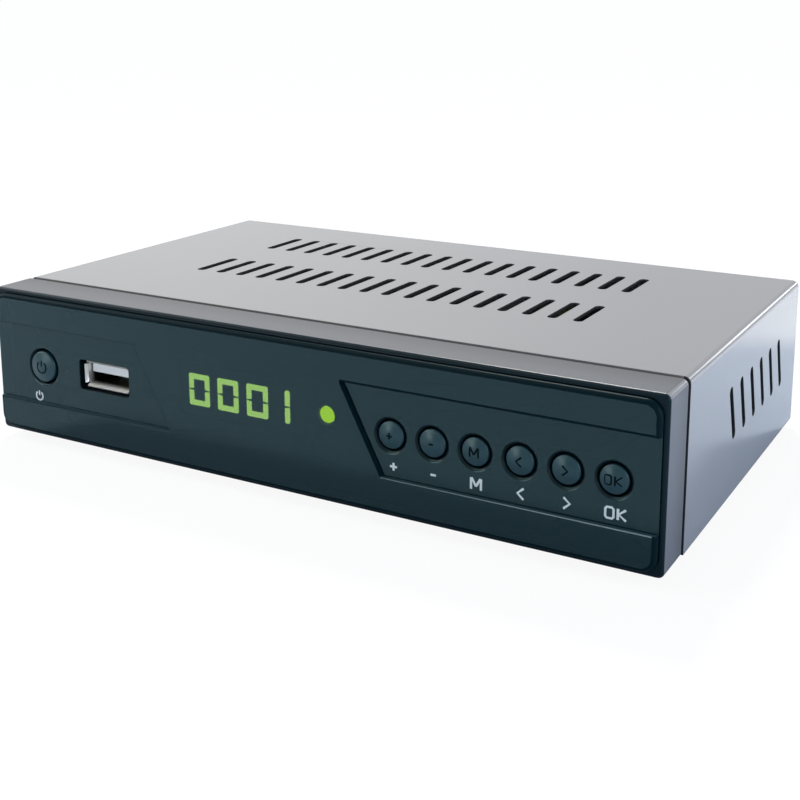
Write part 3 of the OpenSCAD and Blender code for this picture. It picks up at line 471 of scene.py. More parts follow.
def makeFinish(name, spec):
    material = bpy.data.materials.new(name)
    material.use_nodes = True
    tree = material.node_tree
    shader = tree.nodes["Principled BSDF"]
    where = addNode(tree, "TexCoord")

    def place(group, **values):
        node = addNode(tree, "Group", values, node_tree=group)
        wire(tree, (where, "Object", node, "Vector"))
        return node

    spread, size = spec["drift"]
    tone = place(toneDrift, Colour=(*spec["colour"], 1), Spread=spread, Size=size)
    # Painted shade: a finish that has it darkens along the depth
    if "paintedShade" in spec:
        first, last, paintedDark = spec["paintedShade"]
        shade = place(throatShade, First=at(0, first, 0).y, Last=at(0, last, 0).y, Dark=(*paintedDark, 1))
        wire(tree, (tone, "Colour", shade, "Colour"))
        tone = shade
    low, high = spec["rough"]
    gloss = place(roughDrift, Low=low, High=high, Size=2 * size)
    wire(tree, (tone, "Colour", shader, "Base Color"), (gloss, "Roughness", shader, "Roughness"))
    if "grain" in spec:
        fineness, depth = spec["grain"]
        bump = addNode(tree, "Bump", {"Strength": 1, "Distance": depth * mm})
        grain = place(fineGrain, Size=fineness)
        wire(tree, (grain, "Height", bump, "Height"), (bump, "Normal", shader, "Normal"))
    setInputs(shader, {"Metallic": spec.get("metallic", 0), "Specular IOR Level": spec.get("specular", 0.5),
                       "Specular Tint": (*spec.get("tint", (1, 1, 1)), 1), "Alpha": spec.get("alpha", 1)})
    if "coat" in spec:
        weight, roughness = spec["coat"]
        setInputs(shader, {"Coat Weight": weight, "Coat Roughness": roughness})
    if "glow" in spec:
        colour, strength = spec["glow"]
        setInputs(shader, {"Emission Color": (*colour, 1), "Emission Strength": strength})
    return material


finish = {name: makeFinish(name, spec) for name, spec in finishes.items()}
print("finishes made:", len(finish))


def paint(piece, *names):
    piece.data.materials.clear()
    for name in names:
        piece.data.materials.append(finish[name])


# For a piece on the case that has one finish all over
def dressPiece(piece, finishName, slot, *replaced, angle=32):
    smooth(piece, angle)
    paint(piece, finishName)
    return finishPiece(piece, "case", slot, *replaced)


# Cover: a folded sheet with two rows of slots on top and slanted ones in its sides
cover = {"halfWidth": 78, "frontS": 12.4, "rearS": 96, "topZ": 35, "bottomZ": 2, "sheet": 0.8, "fold": 1.3,
         "foldSteps": 6, "lip": 7, "slotWidth": 2, "topSlots": 18, "topPitch": 5.62, "topLength": 14,
         "topX": -0.8, "rows": (72.3, 44.1), "sideSlots": 6, "sidePitch": 7.6, "sideLength": 12,
         "sideLean": 20, "sideS": 60.6, "sideZ": 19.6, "slotMargin": (1, 2), "screwXs": (-64, 0, 64),
         "screwZ": 31.1, "screwHole": 1.6, "rim": 0.12}
# Where the flat top ends towards the sides and the rear, and the height where the folds end
flatX, flatS, flatZ = (cover[end] - cover["fold"] for end in ("halfWidth", "rearS", "topZ"))


def addSlot(length, width, depth):
    clearSelection()
    bpy.ops.mesh.primitive_cylinder_add(vertices=26, radius=width / 2 * mm, depth=depth * mm)
    slot = bpy.context.object
    for side in (-1, 1):
        pick(slot, "VERT", lambda v: v.co.y * side > 0)
        bpy.ops.transform.translate(value=(0, side * (length - width) / 2 * mm, 0))
        leaveEdit()
    return slot


# The flat top's edges are spun down round the folds and drawn down to the sides and the rear lip
def foldSheet(c):
    clearSelection()
    bpy.ops.mesh.primitive_plane_add(size=1, location=at(0, (c["frontS"] + flatS) / 2, c["topZ"]))
    bpy.context.object.scale = (2 * flatX * mm, (flatS - c["frontS"]) * mm, 1)
    piece = keepShape("cover")
    sideX, rearY, top = (flatX - slack) * mm, at(0, flatS - slack, 0).y, (c["topZ"] - slack) * mm
    lipX = (flatX + slack) * mm
    folds = ((lambda v: v.co.x > sideX, at(flatX, 0, flatZ), (0, -1, 0), c["bottomZ"]),
             (lambda v: v.co.x < -sideX, at(-flatX, 0, flatZ), (0, 1, 0), c["bottomZ"]),
             (lambda v: v.co.y > rearY and abs(v.co.x) < lipX, at(0, flatS, flatZ), (1, 0, 0),
              c["topZ"] - c["lip"]))
    for test, centre, axis, lowest in folds:
        pick(piece, "EDGE", lambda e: all(test(v) and v.co.z > top for v in e.verts))
        bpy.ops.mesh.spin(steps=c["foldSteps"], angle=math.pi / 2, center=centre, axis=axis)
        bpy.ops.mesh.extrude_region_move(TRANSFORM_OT_translate={"value": (0, 0, (lowest - flatZ) * mm)})
        leaveEdit()
    # The sides run on to the rear wall below the lip
    wallX = (c["halfWidth"] - slack) * mm
    pick(piece, "EDGE", lambda e: all(abs(v.co.x) > wallX and v.co.y > rearY for v in e.verts))
    bpy.ops.mesh.extrude_region_move(TRANSFORM_OT_translate={"value": (0, (c["fold"] - c["sheet"]) * mm, 0)})
    weldAll(piece)
    if sum(f.normal.z * f.area for f in piece.data.polygons) < 0:
        pick(piece, "FACE", lambda f: True)
        bpy.ops.mesh.flip_normals()
        leaveEdit()
    applyTool(piece, "SOLIDIFY", thickness=c["sheet"] * mm, offset=-1, use_even_offset=True)
    return piece


def cutSlots(piece, c):
    top = addSlot(c["topLength"], c["slotWidth"], 6 * past)
    moveTo(top, at(c["topX"] - (c["topSlots"] - 1) / 2 * c["topPitch"], c["rows"][0], c["topZ"]))
    repeat(top, c["topSlots"], (c["topPitch"], 0, 0))
    repeat(top, 2, (0, c["rows"][1] - c["rows"][0], 0))
    side = addSlot(c["sideLength"], c["slotWidth"], 2 * c["halfWidth"] + 6 * past)
    moveTo(side, (0, 0, 0), (math.pi / 2, 0, math.pi / 2))
    moveTo(side, at(0, c["sideS"] - (c["sideSlots"] - 1) / 2 * c["sidePitch"], c["sideZ"]),
           (math.radians(c["sideLean"]), 0, 0))
    repeat(side, c["sideSlots"], (0, c["sidePitch"], 0))
    carve(piece, top, side)


# Painted shade: black inside, in the slots and at the side parts of the front edge, with a paler front edge on
# top
def paintCover(piece, c):
    paint(piece, "coverPaint", "blackMouldAndPaintedShade", "seamShade")
    deep = c["rim"] + skin
    margin, footMargin = c["slotMargin"]
    for face in piece.data.polygons:
        x, s, z = placeOf(face)
        x, normal = abs(x), face.normal
        within = x < c["halfWidth"] - deep and z < c["topZ"] - deep and s < c["rearS"] - deep
        outward = normal.z + abs(normal.x) + normal.y > 0.9
        bent = (x > flatX or s > flatS) and z > flatZ and outward
        front = s < c["frontS"] + c["rim"] and normal.y < -0.05
        slotted = c["frontS"] + margin < s < flatS - margin and c["bottomZ"] + footMargin < z and (
            (z > c["topZ"] - deep and x < flatX - margin and normal.z < facing) or
            (x > c["halfWidth"] - deep and z < flatZ - margin and abs(normal.x) < facing))
        # Painted shade on the slot walls, the inside and the side parts of the front edge
        paintedDark = slotted or (front and x > flatX) or (within and not bent and not front)
        face.material_index = 1 if paintedDark else 2 if front else 0


def makeCover(c):
    piece = foldSheet(c)
    cutSlots(piece, c)
    for x in c["screwXs"]:
        carve(piece, addRod("screwHole", x, c["screwZ"], (c["rearS"] - past, c["rearS"] + past),
                            c["screwHole"], sides=32))
    soften(piece, c["rim"], 2, 40)
    smooth(piece)
    paintCover(piece, c)
    finishPiece(piece, "case", "cover_paint", "top_cover")


makeCover(cover)
print("cover made")

# Bezel: a painted band with a black spigot behind it, a recess for the plate, windows, bosses and hooks
bezel = {"halfWidth": 78, "lowZ": 2, "highZ": 35, "frontS": 1.3, "backS": 11, "corner": 1.2, "edge": 0.8,
         "wall": 2.2, "recess": (77.1, 15.6, 3.1), "recessS": 3.3, "wallS": 5.1, "cavityS": 10,
         "innerCorner": (0.4, 2), "spigot": (77, 15.5), "spigotWall": 1.6, "spigotS": 17.4,
         "bossXs": (-68, 68), "bossRise": 9, "bossRadius": 2.5, "bossS": 15, "bossHole": 1.3, "rib": 1.2,
         "ribS": 12.6, "ribReach": (8.2, 5.7), "hookXs": (-50, 0, 50),
         "hook": (8, (13.65, 16.15), (2.2, 4)), "display": (-11.4, 19, 15.725, 5.5), "windowCorner": 0.3,
         "lamp": (8.9, 19, 2), "receiver": (8.9, 12.5, 2.7), "pegX": 58, "pegRise": 11.5, "pegHole": 1.1,
         "buttonRoom": 0.1}
pegPlaces = [(x, 0, midZ + rise) for x in (-bezel["pegX"], bezel["pegX"])
             for rise in (-bezel["pegRise"], bezel["pegRise"])]


# A screw boss with a rib to the nearer side and one up or down to the frame
def addBoss(piece, x, side, b):
    z = midZ + side * b["bossRise"]
    root, half = b["recessS"] + lap, b["rib"] / 2
    reachX, reachZ = b["ribReach"]
    unite(piece, addRod("boss", x, z, (root, b["bossS"]), b["bossRadius"], sides=32),
          addBlock("rib", sorted((x, x + math.copysign(reachX, x))), (root, b["ribS"]), (z - half, z + half)),
          addBlock("rib", (x - half, x + half), (root, b["ribS"]), sorted((z, z + side * reachZ))))
    carve(piece, addRod("bossHole", x, z, (b["wallS"], b["bossS"] + past), b["bossHole"], sides=24))


def cutBezelHoles(piece, b):
    through = (b["recessS"] - past, b["wallS"] + past)
    displayX, displayZ, halfX, halfZ = b["display"]
    carve(piece, *[addRod("hole", x, midZ, through, radius + b["buttonRoom"]) for x, radius in buttonHoles],
          roundedBlock("portHole", ss=through, segments=4, **portHole),
          roundedBlock("window", halfX, halfZ, through, b["windowCorner"], 2, displayX, displayZ))
    for x, z, radius in (b["lamp"], b["receiver"]):
        carve(piece, addRod("roundWindow", x, z, through, radius, sides=32))
    for x, _, z in pegPlaces:
        carve(piece, addRod("pegHole", x, z, through, b["pegHole"], sides=24))


def makeBezel(b):
    halfZ = (b["highZ"] - b["lowZ"]) / 2
    piece = roundedBlock("bezel", b["halfWidth"], halfZ, (b["frontS"], b["backS"]), b["corner"], 5)
    roundEdges(piece, atDepth(b["frontS"]), b["edge"], 4)
    inX, inZ = b["spigot"]
    unite(piece, roundedBlock("spigot", inX, inZ, (b["cavityS"], b["spigotS"]), b["corner"], 5))
    inX, inZ = inX - b["spigotWall"], inZ - b["spigotWall"]
    recessX, recessZ, recessR = b["recess"]
    carve(piece, roundedBlock("recess", recessX, recessZ, (0, b["recessS"]), recessR),
          roundedBlock("cavity", b["halfWidth"] - b["wall"], halfZ - b["wall"], (b["wallS"], b["cavityS"]),
                       *b["innerCorner"]),
          roundedBlock("paintedShade", inX, inZ, (b["cavityS"] - lap, b["spigotS"] + past), *b["innerCorner"]))
    for x in b["bossXs"]:
        for side in (-1, 1):
            addBoss(piece, x, side, b)
    width, ss, zs = b["hook"]
    for x in b["hookXs"]:
        unite(piece, addBlock("hook", (x - width / 2, x + width / 2), ss, zs))
    cutBezelHoles(piece, b)
    smooth(piece)
    paint(piece, "bezelPaint", "blackMouldAndPaintedShade", "rimPlastic", "bandEdgeHighlight")
    # Black moulding in the recess and behind, a dark rim at the front, and a painted highlight on the band's
    # top corners
    for face in piece.data.polygons:
        x, s, z = placeOf(face)
        inside = abs(x) < recessX + skin and abs(z - midZ) < recessZ + skin and s > b["frontS"] + skin
        front = s < b["frontS"] + b["edge"] and face.normal.y < -0.55
        corner = face.normal.z > 0.25 and abs(face.normal.x) > 0.25
        behind = s > b["backS"] - slack
        face.material_index = 1 if inside or behind else 2 if front else 3 if corner else 0
    finishPiece(piece, "case", "bezel_plastic", "front_bezel")


makeBezel(bezel)
print("bezel made")

# Plate: a smoked panel with rounded edges, two recessed fields with slanted ends, and its holes
plate = {"halfWidth": 77, "halfHeight": 15.5, "backS": 3.3, "corner": 3, "edge": 0.9, "fieldTop": 27.5,
         "fieldBottom": 10.1, "rightField": 14.1, "leftField": -36.7, "slant": 9, "holeBevel": 0.5,
         "peg": (1, 1.7, 0.7), "pegRoom": 0.02, "rim": 0.14, "lowerRim": 0.2, "upperRim": (0.55, 0.3),
         "rimLap": (0.05, 0.02), "paintMargins": (1, 0.3, 0.7), "edgeReach": 0.25}


def addField(name, xs, p):
    piece = addBlock(name, xs, (-past, fieldS), (p["fieldBottom"], p["fieldTop"]))
    inner = min(xs, key=abs) * mm
    pick(piece, "VERT", lambda v: abs(v.co.x - inner) < slack * mm and v.co.z < midZ * mm)
    bpy.ops.transform.translate(value=(p["slant"] * mm, 0, 0))
    leaveEdit()
    return piece


# The right field's upper front edge is cut back by a height and a depth
def addChamfer(xs, p):
    height, depth = p["upperRim"]
    below, above = p["rimLap"]
    piece = addBlock("chamfer", xs, (-depth, depth), (p["fieldTop"] - below, p["fieldTop"] + above))
    pick(piece, "VERT", lambda v: v.co.z > p["fieldTop"] * mm and v.co.y < at(0, 0, 0).y)
    bpy.ops.transform.translate(value=(0, 0, 2 * height * mm))
    leaveEdit()
    return piece


def addPegs(p):
    radius, headRadius, headLength = p["peg"]
    neckS, tipS = bezel["wallS"] + p["pegRoom"], bezel["wallS"] + headLength
    profile = [(0, p["backS"]), (radius, p["backS"]), (radius, neckS), (headRadius, neckS), (radius, tipS),
               (0, tipS)]
    return copyTo(spinPiece("peg", pegPlaces[0], profile, 24), pegPlaces)


# Painted shade on the hole walls, dark hole mouths, dull edges, a painted highlight along the edge below the
# right field, and painted tone on the fields' lower ledges
def paintPlate(piece, p):
    paint(piece, "smokedPlastic", "smokedEdge", "holeShade", "stepEdgeHighlight", "mouthEdge", "ledgeShade")
    sideMargin, lowMargin, highMargin = p["paintMargins"]
    lowest, highest = p["fieldBottom"] - lowMargin, p["fieldTop"] + highMargin
    bevelS = fieldS + p["holeBevel"]
    for face in piece.data.polygons:
        x, s, z = placeOf(face)
        frontal = abs(face.normal.y)
        within = abs(x) < p["halfWidth"] - sideMargin and lowest < z < highest
        if within and frontal < facing and s > fieldS + 2 * slack:
            face.material_index = 4 if frontal > 0.3 and s < bevelS else 2
        elif within and frontal < facing:
            # A painted highlight on the right field's lower edge, painted tone on the lower ledges
            lower = abs(z - p["fieldBottom"]) < p["edgeReach"]
            highlighted = lower and x > p["rightField"] and s < p["edgeReach"]
            face.material_index = 3 if highlighted else 5 if lower else 1
        elif not within and frontal < square and s < bevelS:
            face.material_index = 1
        else:
            face.material_index = 0


def makePlate(p):
    piece = roundedBlock("facePlate", p["halfWidth"], p["halfHeight"], (0, p["backS"]), p["corner"], 10)
    roundEdges(piece, atDepth(0), p["edge"], 6)
    beyond, through = p["halfWidth"] + past, (-past, p["backS"] + past)
    right, left = (p["rightField"], beyond), (-beyond, p["leftField"])
    carve(piece, addField("rightField", right, p), addChamfer(right, p), addField("leftField", left, p))
    bevel = p["holeBevel"]
    for x, radius in buttonHoles:
        carve(piece, addRod("hole", x, midZ, through, radius),
              addRod("mouth", x, midZ, (fieldS - bevel, fieldS + bevel), radius, radius + 2 * bevel))
    carve(piece, roundedBlock("portHole", ss=through, segments=6, **portHole))
    frontEnd = at(0, skin, 0).y
    roundEdges(piece, lambda e: all(v.co.y < frontEnd and abs(v.co.z / mm - p["fieldBottom"]) < slack
                                    for v in e.verts), p["lowerRim"], 2)
    soften(piece, p["rim"], 2, 40)
    piece = joinPieces("facePlate", [piece] + addPegs(p))
    smooth(piece, flat=lambda face: abs(face.normal.y) > square)
    paintPlate(piece, p)
    finishPiece(piece, "case", "smoked_plate", "front_plate")


makePlate(plate)
print("plate made")

# Signs: strokes printed under the buttons, and the same ones sunk into the caps
signs = {"x": {"plus": 0.65, "ok": 0.5}, "otherX": 0.3, "z": 12.45, "line": 0.47, "ink": 0.06,
         "power": (-65.65, 11.5, 1.0), "powerLine": 0.9, "ring": (35, 326, 29), "bar": (0.15, 1.2)}
# Width, height and lines of each sign, on a square from -1 to 1
strokes = {"plus": (1.5, 1.5, (((-1, 0), (1, 0)), ((0, -1), (0, 1)))),
           "minus": (1.1, 1.5, (((-1, 0), (1, 0)),)),
           "menu": (2.0, 2.1, (((-1, -1), (-1, 1.1)), ((-0.9, 1.1), (0, -0.4)), ((0, -0.4), (0.9, 1.1)),
                               ((1, -1), (1, 1.1)))),
           "left": (1.2, 2.1, (((1, 1), (-1, 0), (1, -1)),)),
           "right": (1.2, 2.1, (((-1, 1), (1, 0), (-1, -1)),)),
           "ok": (3.75, 2.0, (((-0.84, -1), (-1, -0.7), (-1, 0.7), (-0.84, 1), (-0.36, 1), (-0.2, 0.7),
                               (-0.2, -0.7), (-0.36, -1), (-0.84, -1)), ((0.22, 1), (0.22, -1)),
                              ((0.98, 1), (0.3, 0), (1, -1))))}


# A line of the given width through the points, flattened to the given depth
def addStroke(points, line, depth, s):
    places = [(x, 0, z) for x, z in points]
    drawLine("stroke", Vector(places[0]) * mm, places)
    bpy.ops.mesh.remove_doubles(threshold=weld * mm)
    leaveEdit()
    bpy.ops.object.convert(target="CURVE")
    curve = bpy.context.object.data
    curve.bevel_depth = line / 2 * mm
    curve.bevel_resolution = 3
    curve.use_fill_caps = True
    bpy.ops.object.convert(target="MESH")
    stroke = bpy.context.object
    stroke.scale = (1, depth / line, 1)
    moveTo(stroke, at(0, s, 0))
    weldAll(stroke)
    return stroke


def addSign(name, x, z, line, depth, s, scale=1):
    width, height, lines = strokes[name]
    halfX, halfZ = scale * width / 2, scale * height / 2
    return [addStroke([(x + halfX * u, z + halfZ * v) for u, v in points], line, depth, s) for points in lines]


def addPowerSign(x, z, radius, line, depth, s):
    turns = [math.radians(90 - angle) for angle in range(*signs["ring"])]
    ring = [(x + radius * math.cos(t), z + radius * math.sin(t)) for t in turns]
    bar = [(x, z + share * radius) for share in signs["bar"]]
    return [addStroke(points, line, depth, s) for points in (ring, bar)]


def makeSigns(g):
    parts = []
    for name, x in zip(keyNames, keyXs):
        parts += addSign(name, x + g["x"].get(name, g["otherX"]), g["z"], g["line"], g["ink"], fieldS)
    parts += addPowerSign(*g["power"], g["powerLine"] * g["line"], g["ink"], fieldS)
    piece = joinPieces("printedSigns", parts)
    dressPiece(piece, "signInk", "white_plastic")


makeSigns(signs)
print("signs made")

# Buttons: domed caps with a sunk sign, a flange that keeps them in and a plunger on the switch
caps = {"keyRadius": 2.75, "keyFront": 0.4, "powerRadius": 3.5, "powerFront": 0.1, "dome": 0.5, "domeSteps": 6,
        "edge": 0.45, "edgeSteps": 5, "flangeS": (5.2, 6.2), "flange": 1.1, "plunger": 1.6, "tipS": 10.7,
        "sign": 0.85, "powerSign": 1.3, "signLine": 0.4, "signDepth": 0.7, "signRoom": 0.04}


def makeCap(name, x, radius, frontS, c):
    edge, dome, steps = c["edge"], c["dome"], c["domeSteps"]
    flat, flange, plunger = radius - edge, radius + c["flange"], c["plunger"]
    profile = [(flat * k / steps, frontS + dome * (k / steps) ** 2) for k in range(steps + 1)]
    profile += arc(flat, frontS + dome + edge, edge, -75, 0, c["edgeSteps"])
    flangeS, endS = c["flangeS"]
    profile += [(radius, flangeS), (flange, flangeS), (flange, endS), (plunger, endS), (plunger, c["tipS"]),
                (0, c["tipS"])]
    return spinPiece(name, (x, 0, midZ), profile)


def engrave(cap, cutters):
    paint(cap, "capPlastic")
    # The sunk sign's faces take the cutters' darker finish, as painted shade in the grooves
    for cutter in cutters:
        paint(cutter, "sunkSignShade")
    carve(cap, *cutters)
    smooth(cap)


def makeCaps(c):
    line, depth = c["signLine"], c["signDepth"]
    firstCap = makeCap("keyCap", firstKeyX, c["keyRadius"], c["keyFront"], c)
    keys = copyTo(firstCap, [(x, 0, midZ) for x in keyXs])
    for cap, name, x in zip(keys, keyNames, keyXs):
        cap.name = name + "Cap"
        engrave(cap, addSign(name, x, midZ, line, depth, c["keyFront"] + c["signRoom"], c["sign"]))
        finishPiece(cap, name + "_key", "button_plastic", name + "_button")
    cap = makeCap("powerCap", powerX, c["powerRadius"], c["powerFront"], c)
    engrave(cap, addPowerSign(powerX, midZ, c["powerSign"], line, depth, c["powerFront"] + c["signRoom"]))
    finishPiece(cap, "power_key", "button_plastic", "power_button")


makeCaps(caps)
print("buttons made")

# Data port: a thin steel shell whose mouth has four flared lips, each drawn outward and forward in two steps
dataPort = {"halfWidth": 6.1, "halfHeight": 2.5, "corner": 0.6, "mouthS": 2.85, "backS": 15, "sheet": 0.3,
            "lips": ((0.15, -0.4), (0.3, -0.5)), "windowX": 2.62, "window": (1.1, (7.45, 10.45))}


def makeDataPort(d):
    halfX, halfZ = d["halfWidth"], d["halfHeight"]
    piece = roundedBlock("dataPortShell", halfX, halfZ, (d["mouthS"], d["backS"]), d["corner"], 4, portX)
    pick(piece, "FACE", lambda f: abs(f.normal.y) > facing)
    bpy.ops.mesh.delete(type="ONLY_FACE")
    leaveEdit()
    nearX, nearZ = halfX - skin, halfZ - skin
    sides = ((lambda place: place.z > (midZ + nearZ) * mm, (0, 0, 1)),
             (lambda place: place.z < (midZ - nearZ) * mm, (0, 0, -1)),
             (lambda place: place.x > (portX + nearX) * mm, (1, 0, 0)),
             (lambda place: place.x < (portX - nearX) * mm, (-1, 0, 0)))
    mouth = at(0, d["mouthS"] + slack, 0).y
    for test, out in sides:
        pick(piece, "EDGE", lambda e: all(v.co.y < mouth and test(v.co) for v in e.verts))
        for outward, forward in d["lips"]:
            step = Vector(out) * outward + Vector((0, forward, 0))
            bpy.ops.mesh.extrude_region_move(TRANSFORM_OT_translate={"value": step * mm})
        leaveEdit()
    weldAll(piece)
    applyTool(piece, "SOLIDIFY", thickness=d["sheet"] * mm, offset=-1)
    half, ss = d["window"]
    for x in (portX - d["windowX"], portX + d["windowX"]):
        carve(piece, addBlock("window", (x - half, x + half), ss, (midZ - halfZ - past, midZ + halfZ + past)))
    # Its steel darkens from the mouth inwards: painted shade
    dressPiece(piece, "shellSteel", "port_steel", "data_port_shell")


makeDataPort(dataPort)
print("data port made")

# Feet: rubber pucks with a rounded rim and a dished sole
feet = {"xs": (-63, 63), "ss": (19.9, 81), "radius": 5.5, "height": 2, "edge": 0.6, "dish": (3.4, 0.35),
        "dishSlope": 0.4}


def makeFeet(f):
    dish, depth = f["dish"]
    profile = [(0, depth), (dish - f["dishSlope"], depth), (dish, 0)]
    profile += arc(f["radius"] - f["edge"], f["edge"], f["edge"], -90, 0, 5)
    profile += [(f["radius"], f["height"]), (0, f["height"])]
    places = [(x, s, 0) for x in f["xs"] for s in f["ss"]]
    foot = spinPiece("foot", places[0], profile, 40, upright=True)
    dressPiece(joinPieces("feet", copyTo(foot, places)), "footRubber", "foot_rubber", "rubber_feet")


makeFeet(feet)
print("feet made")

# Rear sockets: threaded barrels with chamfered nuts. A thread has its first and last place, pitch and depth,
# and its crest is given in shares of the pitch
sockets = {"xs": (-44, -24), "z": 17.4, "radius": 4.7, "rootS": 94.2, "tipS": 106, "neckS": (97.9, 98.5),
           "neckCut": 0.4, "wallSlope": 0.02, "thread": (98.7, 105.3, 0.75, 0.32), "crest": (0.34, 0.62),
           "valley": 0.08, "tipEase": (0.3, 0.12), "mouth": (3.5, 3), "mouthEase": (0.12, 0.15),
           "nutS": (95.8, 97.9), "nutFlats": 11, "nutHole": 4.75, "nutChamfer": (1, 0.55), "nutRim": 0.1}


def barrelProfile(k):
    r, tipS, slope = k["radius"], k["tipS"], k["wallSlope"]
    first, last, pitch, cut = k["thread"]
    neckS, neckEnd = k["neckS"]
    profile = [(0, k["rootS"]), (r, k["rootS"]), (r, neckS), (r - k["neckCut"], neckS + slope),
               (r - k["neckCut"], neckEnd - slope), (r - cut, neckEnd)]
    up, down = k["crest"]
    for turn in range(int((last - first) / pitch)):
        s = first + turn * pitch
        profile += [(r - cut, s + k["valley"]), (r, s + up * pitch), (r, s + down * pitch),
                    (r - cut, s + pitch - k["valley"])]
    ease, easeS = k["tipEase"]
    mouth, depth = k["mouth"]
    lipR, lipS = k["mouthEase"]
    return profile + [(r - cut, last + ease), (r - cut - ease / 2, tipS - easeS), (r - cut - ease, tipS),
                      (mouth + lipR, tipS), (mouth, tipS - lipS), (mouth, tipS - depth), (0, tipS - depth)]


def makeNut(place, k):
    x, _, z = place
    low, high = k["nutS"]
    wide = k["nutFlats"] / 2
    out, back = k["nutChamfer"]
    nut = addRod("nut", x, z, k["nutS"], wide / math.cos(math.pi / 6), sides=6)
    combine(nut, spinPiece("chamfer", place, [
        (0, low), (wide, low), (wide + out, low + back), (wide + out, high - back), (wide, high), (0, high)],
        48), "INTERSECT")
    carve(nut, addRod("nutHole", x, z, (low - past, high + past), k["nutHole"], sides=48))
    return nut


def makeSockets(k):
    places = [(x, 0, k["z"]) for x in k["xs"]]
    barrels = copyTo(spinPiece("barrel", places[0], barrelProfile(k), 48), places)
    for barrel, node in zip(barrels, ("antenna_in", "antenna_out")):
        barrel.name = node + "Barrel"
        dressPiece(barrel, "socketNickel", "socket_nickel", node, angle=25)
    piece = joinPieces("antennaNuts", [makeNut(place, k) for place in places])
    soften(piece, k["nutRim"], 2, 25)
    dressPiece(piece, "socketNickel", "socket_nickel", "antenna_nuts")


makeSockets(sockets)

# Cross-head screws in the cover's lip
screws = {"shank": (1.5, 91.4), "point": (0.6, 0.8), "head": (2.75, 1.7), "headRim": 0.35, "domeSteps": 6,
          "cross": (0.34, 1.5, 0.9)}


def makeScrews(w):
    shank, endS = w["shank"]
    share, pointLength = w["point"]
    head, height = w["head"]
    s, z, rim, steps = cover["rearS"], cover["screwZ"], w["headRim"], w["domeSteps"]
    profile = [(0, endS), (shank * share, endS), (shank, endS + pointLength), (shank, s), (head, s),
               (head, s + rim)]
    turns = [math.pi / 2 * k / steps for k in range(1, steps)]
    profile += [(head * math.cos(t), s + rim + (height - rim) * math.sin(t)) for t in turns]
    profile += [(0, s + height)]
    places = [(x, 0, z) for x in cover["screwXs"]]
    x = places[0][0]
    screw = spinPiece("screw", places[0], profile, 40)
    half, reach, depth = w["cross"]
    for halfX, halfZ in ((half, reach), (reach, half)):
        carve(screw, addBlock("cross", (x - halfX, x + halfX), (s + height - depth, s + height + past),
                              (z - halfZ, z + halfZ)))
    dressPiece(joinPieces("coverScrews", copyTo(screw, places)), "screwSteel", "screw_steel", "cover_screws")


makeScrews(screws)
print("sockets and screws made")

# Solids whose shape is right already: a merged copy with eased edges takes their place where they show
eased = {"chassis_base": ("baseSteel", "chassis_steel", 0.12),
         "antenna_washers": ("socketNickel", "screw_steel", 0.1),
         "video_port_shell": ("portSteel", "port_steel", 0.08),
         "av_jack": ("yellowMoulding", "yellow_plastic", 0.2),
         "audio_jack_body": ("orangeMoulding", "orange_plastic", 0.2),
         "audio_jack_sleeve": ("contactGold", "contact_gold", 0.12),
         "power_jack_body": ("blackMoulding", "black_plastic", 0.25),
         "antenna_insulators": ("whiteMoulding", "white_plastic", 0.12),
         "data_port_tongue": ("whiteMoulding", "white_plastic", 0.15),
         "video_port_tongue": ("blackMoulding", "black_plastic", 0.12)}
audioJack = {"finishes": ("orangeMoulding", "blackMoulding"), "shadedFromS": 94}


def easeNode(node, finishName, slotName, rim):
    activate(nodes[node])
    bpy.ops.object.duplicate(linked=False)
    piece = bpy.context.object
    first, *rest = node.split("_")
    piece.name = first + "".join(word.capitalize() for word in rest)
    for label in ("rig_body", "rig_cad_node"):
        if label in piece:
            del piece[label]
    piece.parent = None
    pick(piece, "VERT", lambda v: True)
    bpy.ops.mesh.remove_doubles(threshold=weld * mm)
    bpy.ops.mesh.dissolve_limited(angle_limit=math.radians(1))
    leaveEdit()
    soften(piece, rim, 2, 40)
    return dressPiece(piece, finishName, slotName, node)


# The audio socket is coloured outside the case and painted black within, as painted shade where it shows
# through the slots
def paintAudioJack(piece, j):
    paint(piece, *j["finishes"])
    for face in piece.data.polygons:
        face.material_index = 1 if face.center.y < at(0, j["shadedFromS"], 0).y else 0


copies = {node: easeNode(node, *values) for node, values in eased.items()}
paintAudioJack(copies["audio_jack_body"], audioJack)
print("eased copies made:", len(copies))

# The other solids keep their shape and get their finish
plainNodes = {
    "pinPlastic": ["power_actuator"] + [name + "_actuator" for name in keyNames],
    "blackMoulding": ["switch_bodies", "display_body", "display_spacer", "led_spacer", "ir_receiver",
                      "board_link", "processor", "memory_chips", "inductors"],
    "boardLaminate": ["front_board", "main_board"],
    "screwSteel": ["front_board_screws", "main_board_screws"],
    "digitGlow": ["display_segments"],
    "lampGlow": ["status_led"],
    "portSteel": ["tuner_can", "crystal", "power_jack_pin"],
    "contactGold": ["data_port_contacts"],
    "standoffBrass": ["board_standoffs"],
    "sinkAluminium": ["heat_sink"],
    "capSleeve": ["capacitors"],
}
for finishName, names in plainNodes.items():
    for name in names:
        for holder in nodes[name].material_slots:
            holder.material = finish[finishName]
print("solids finished")

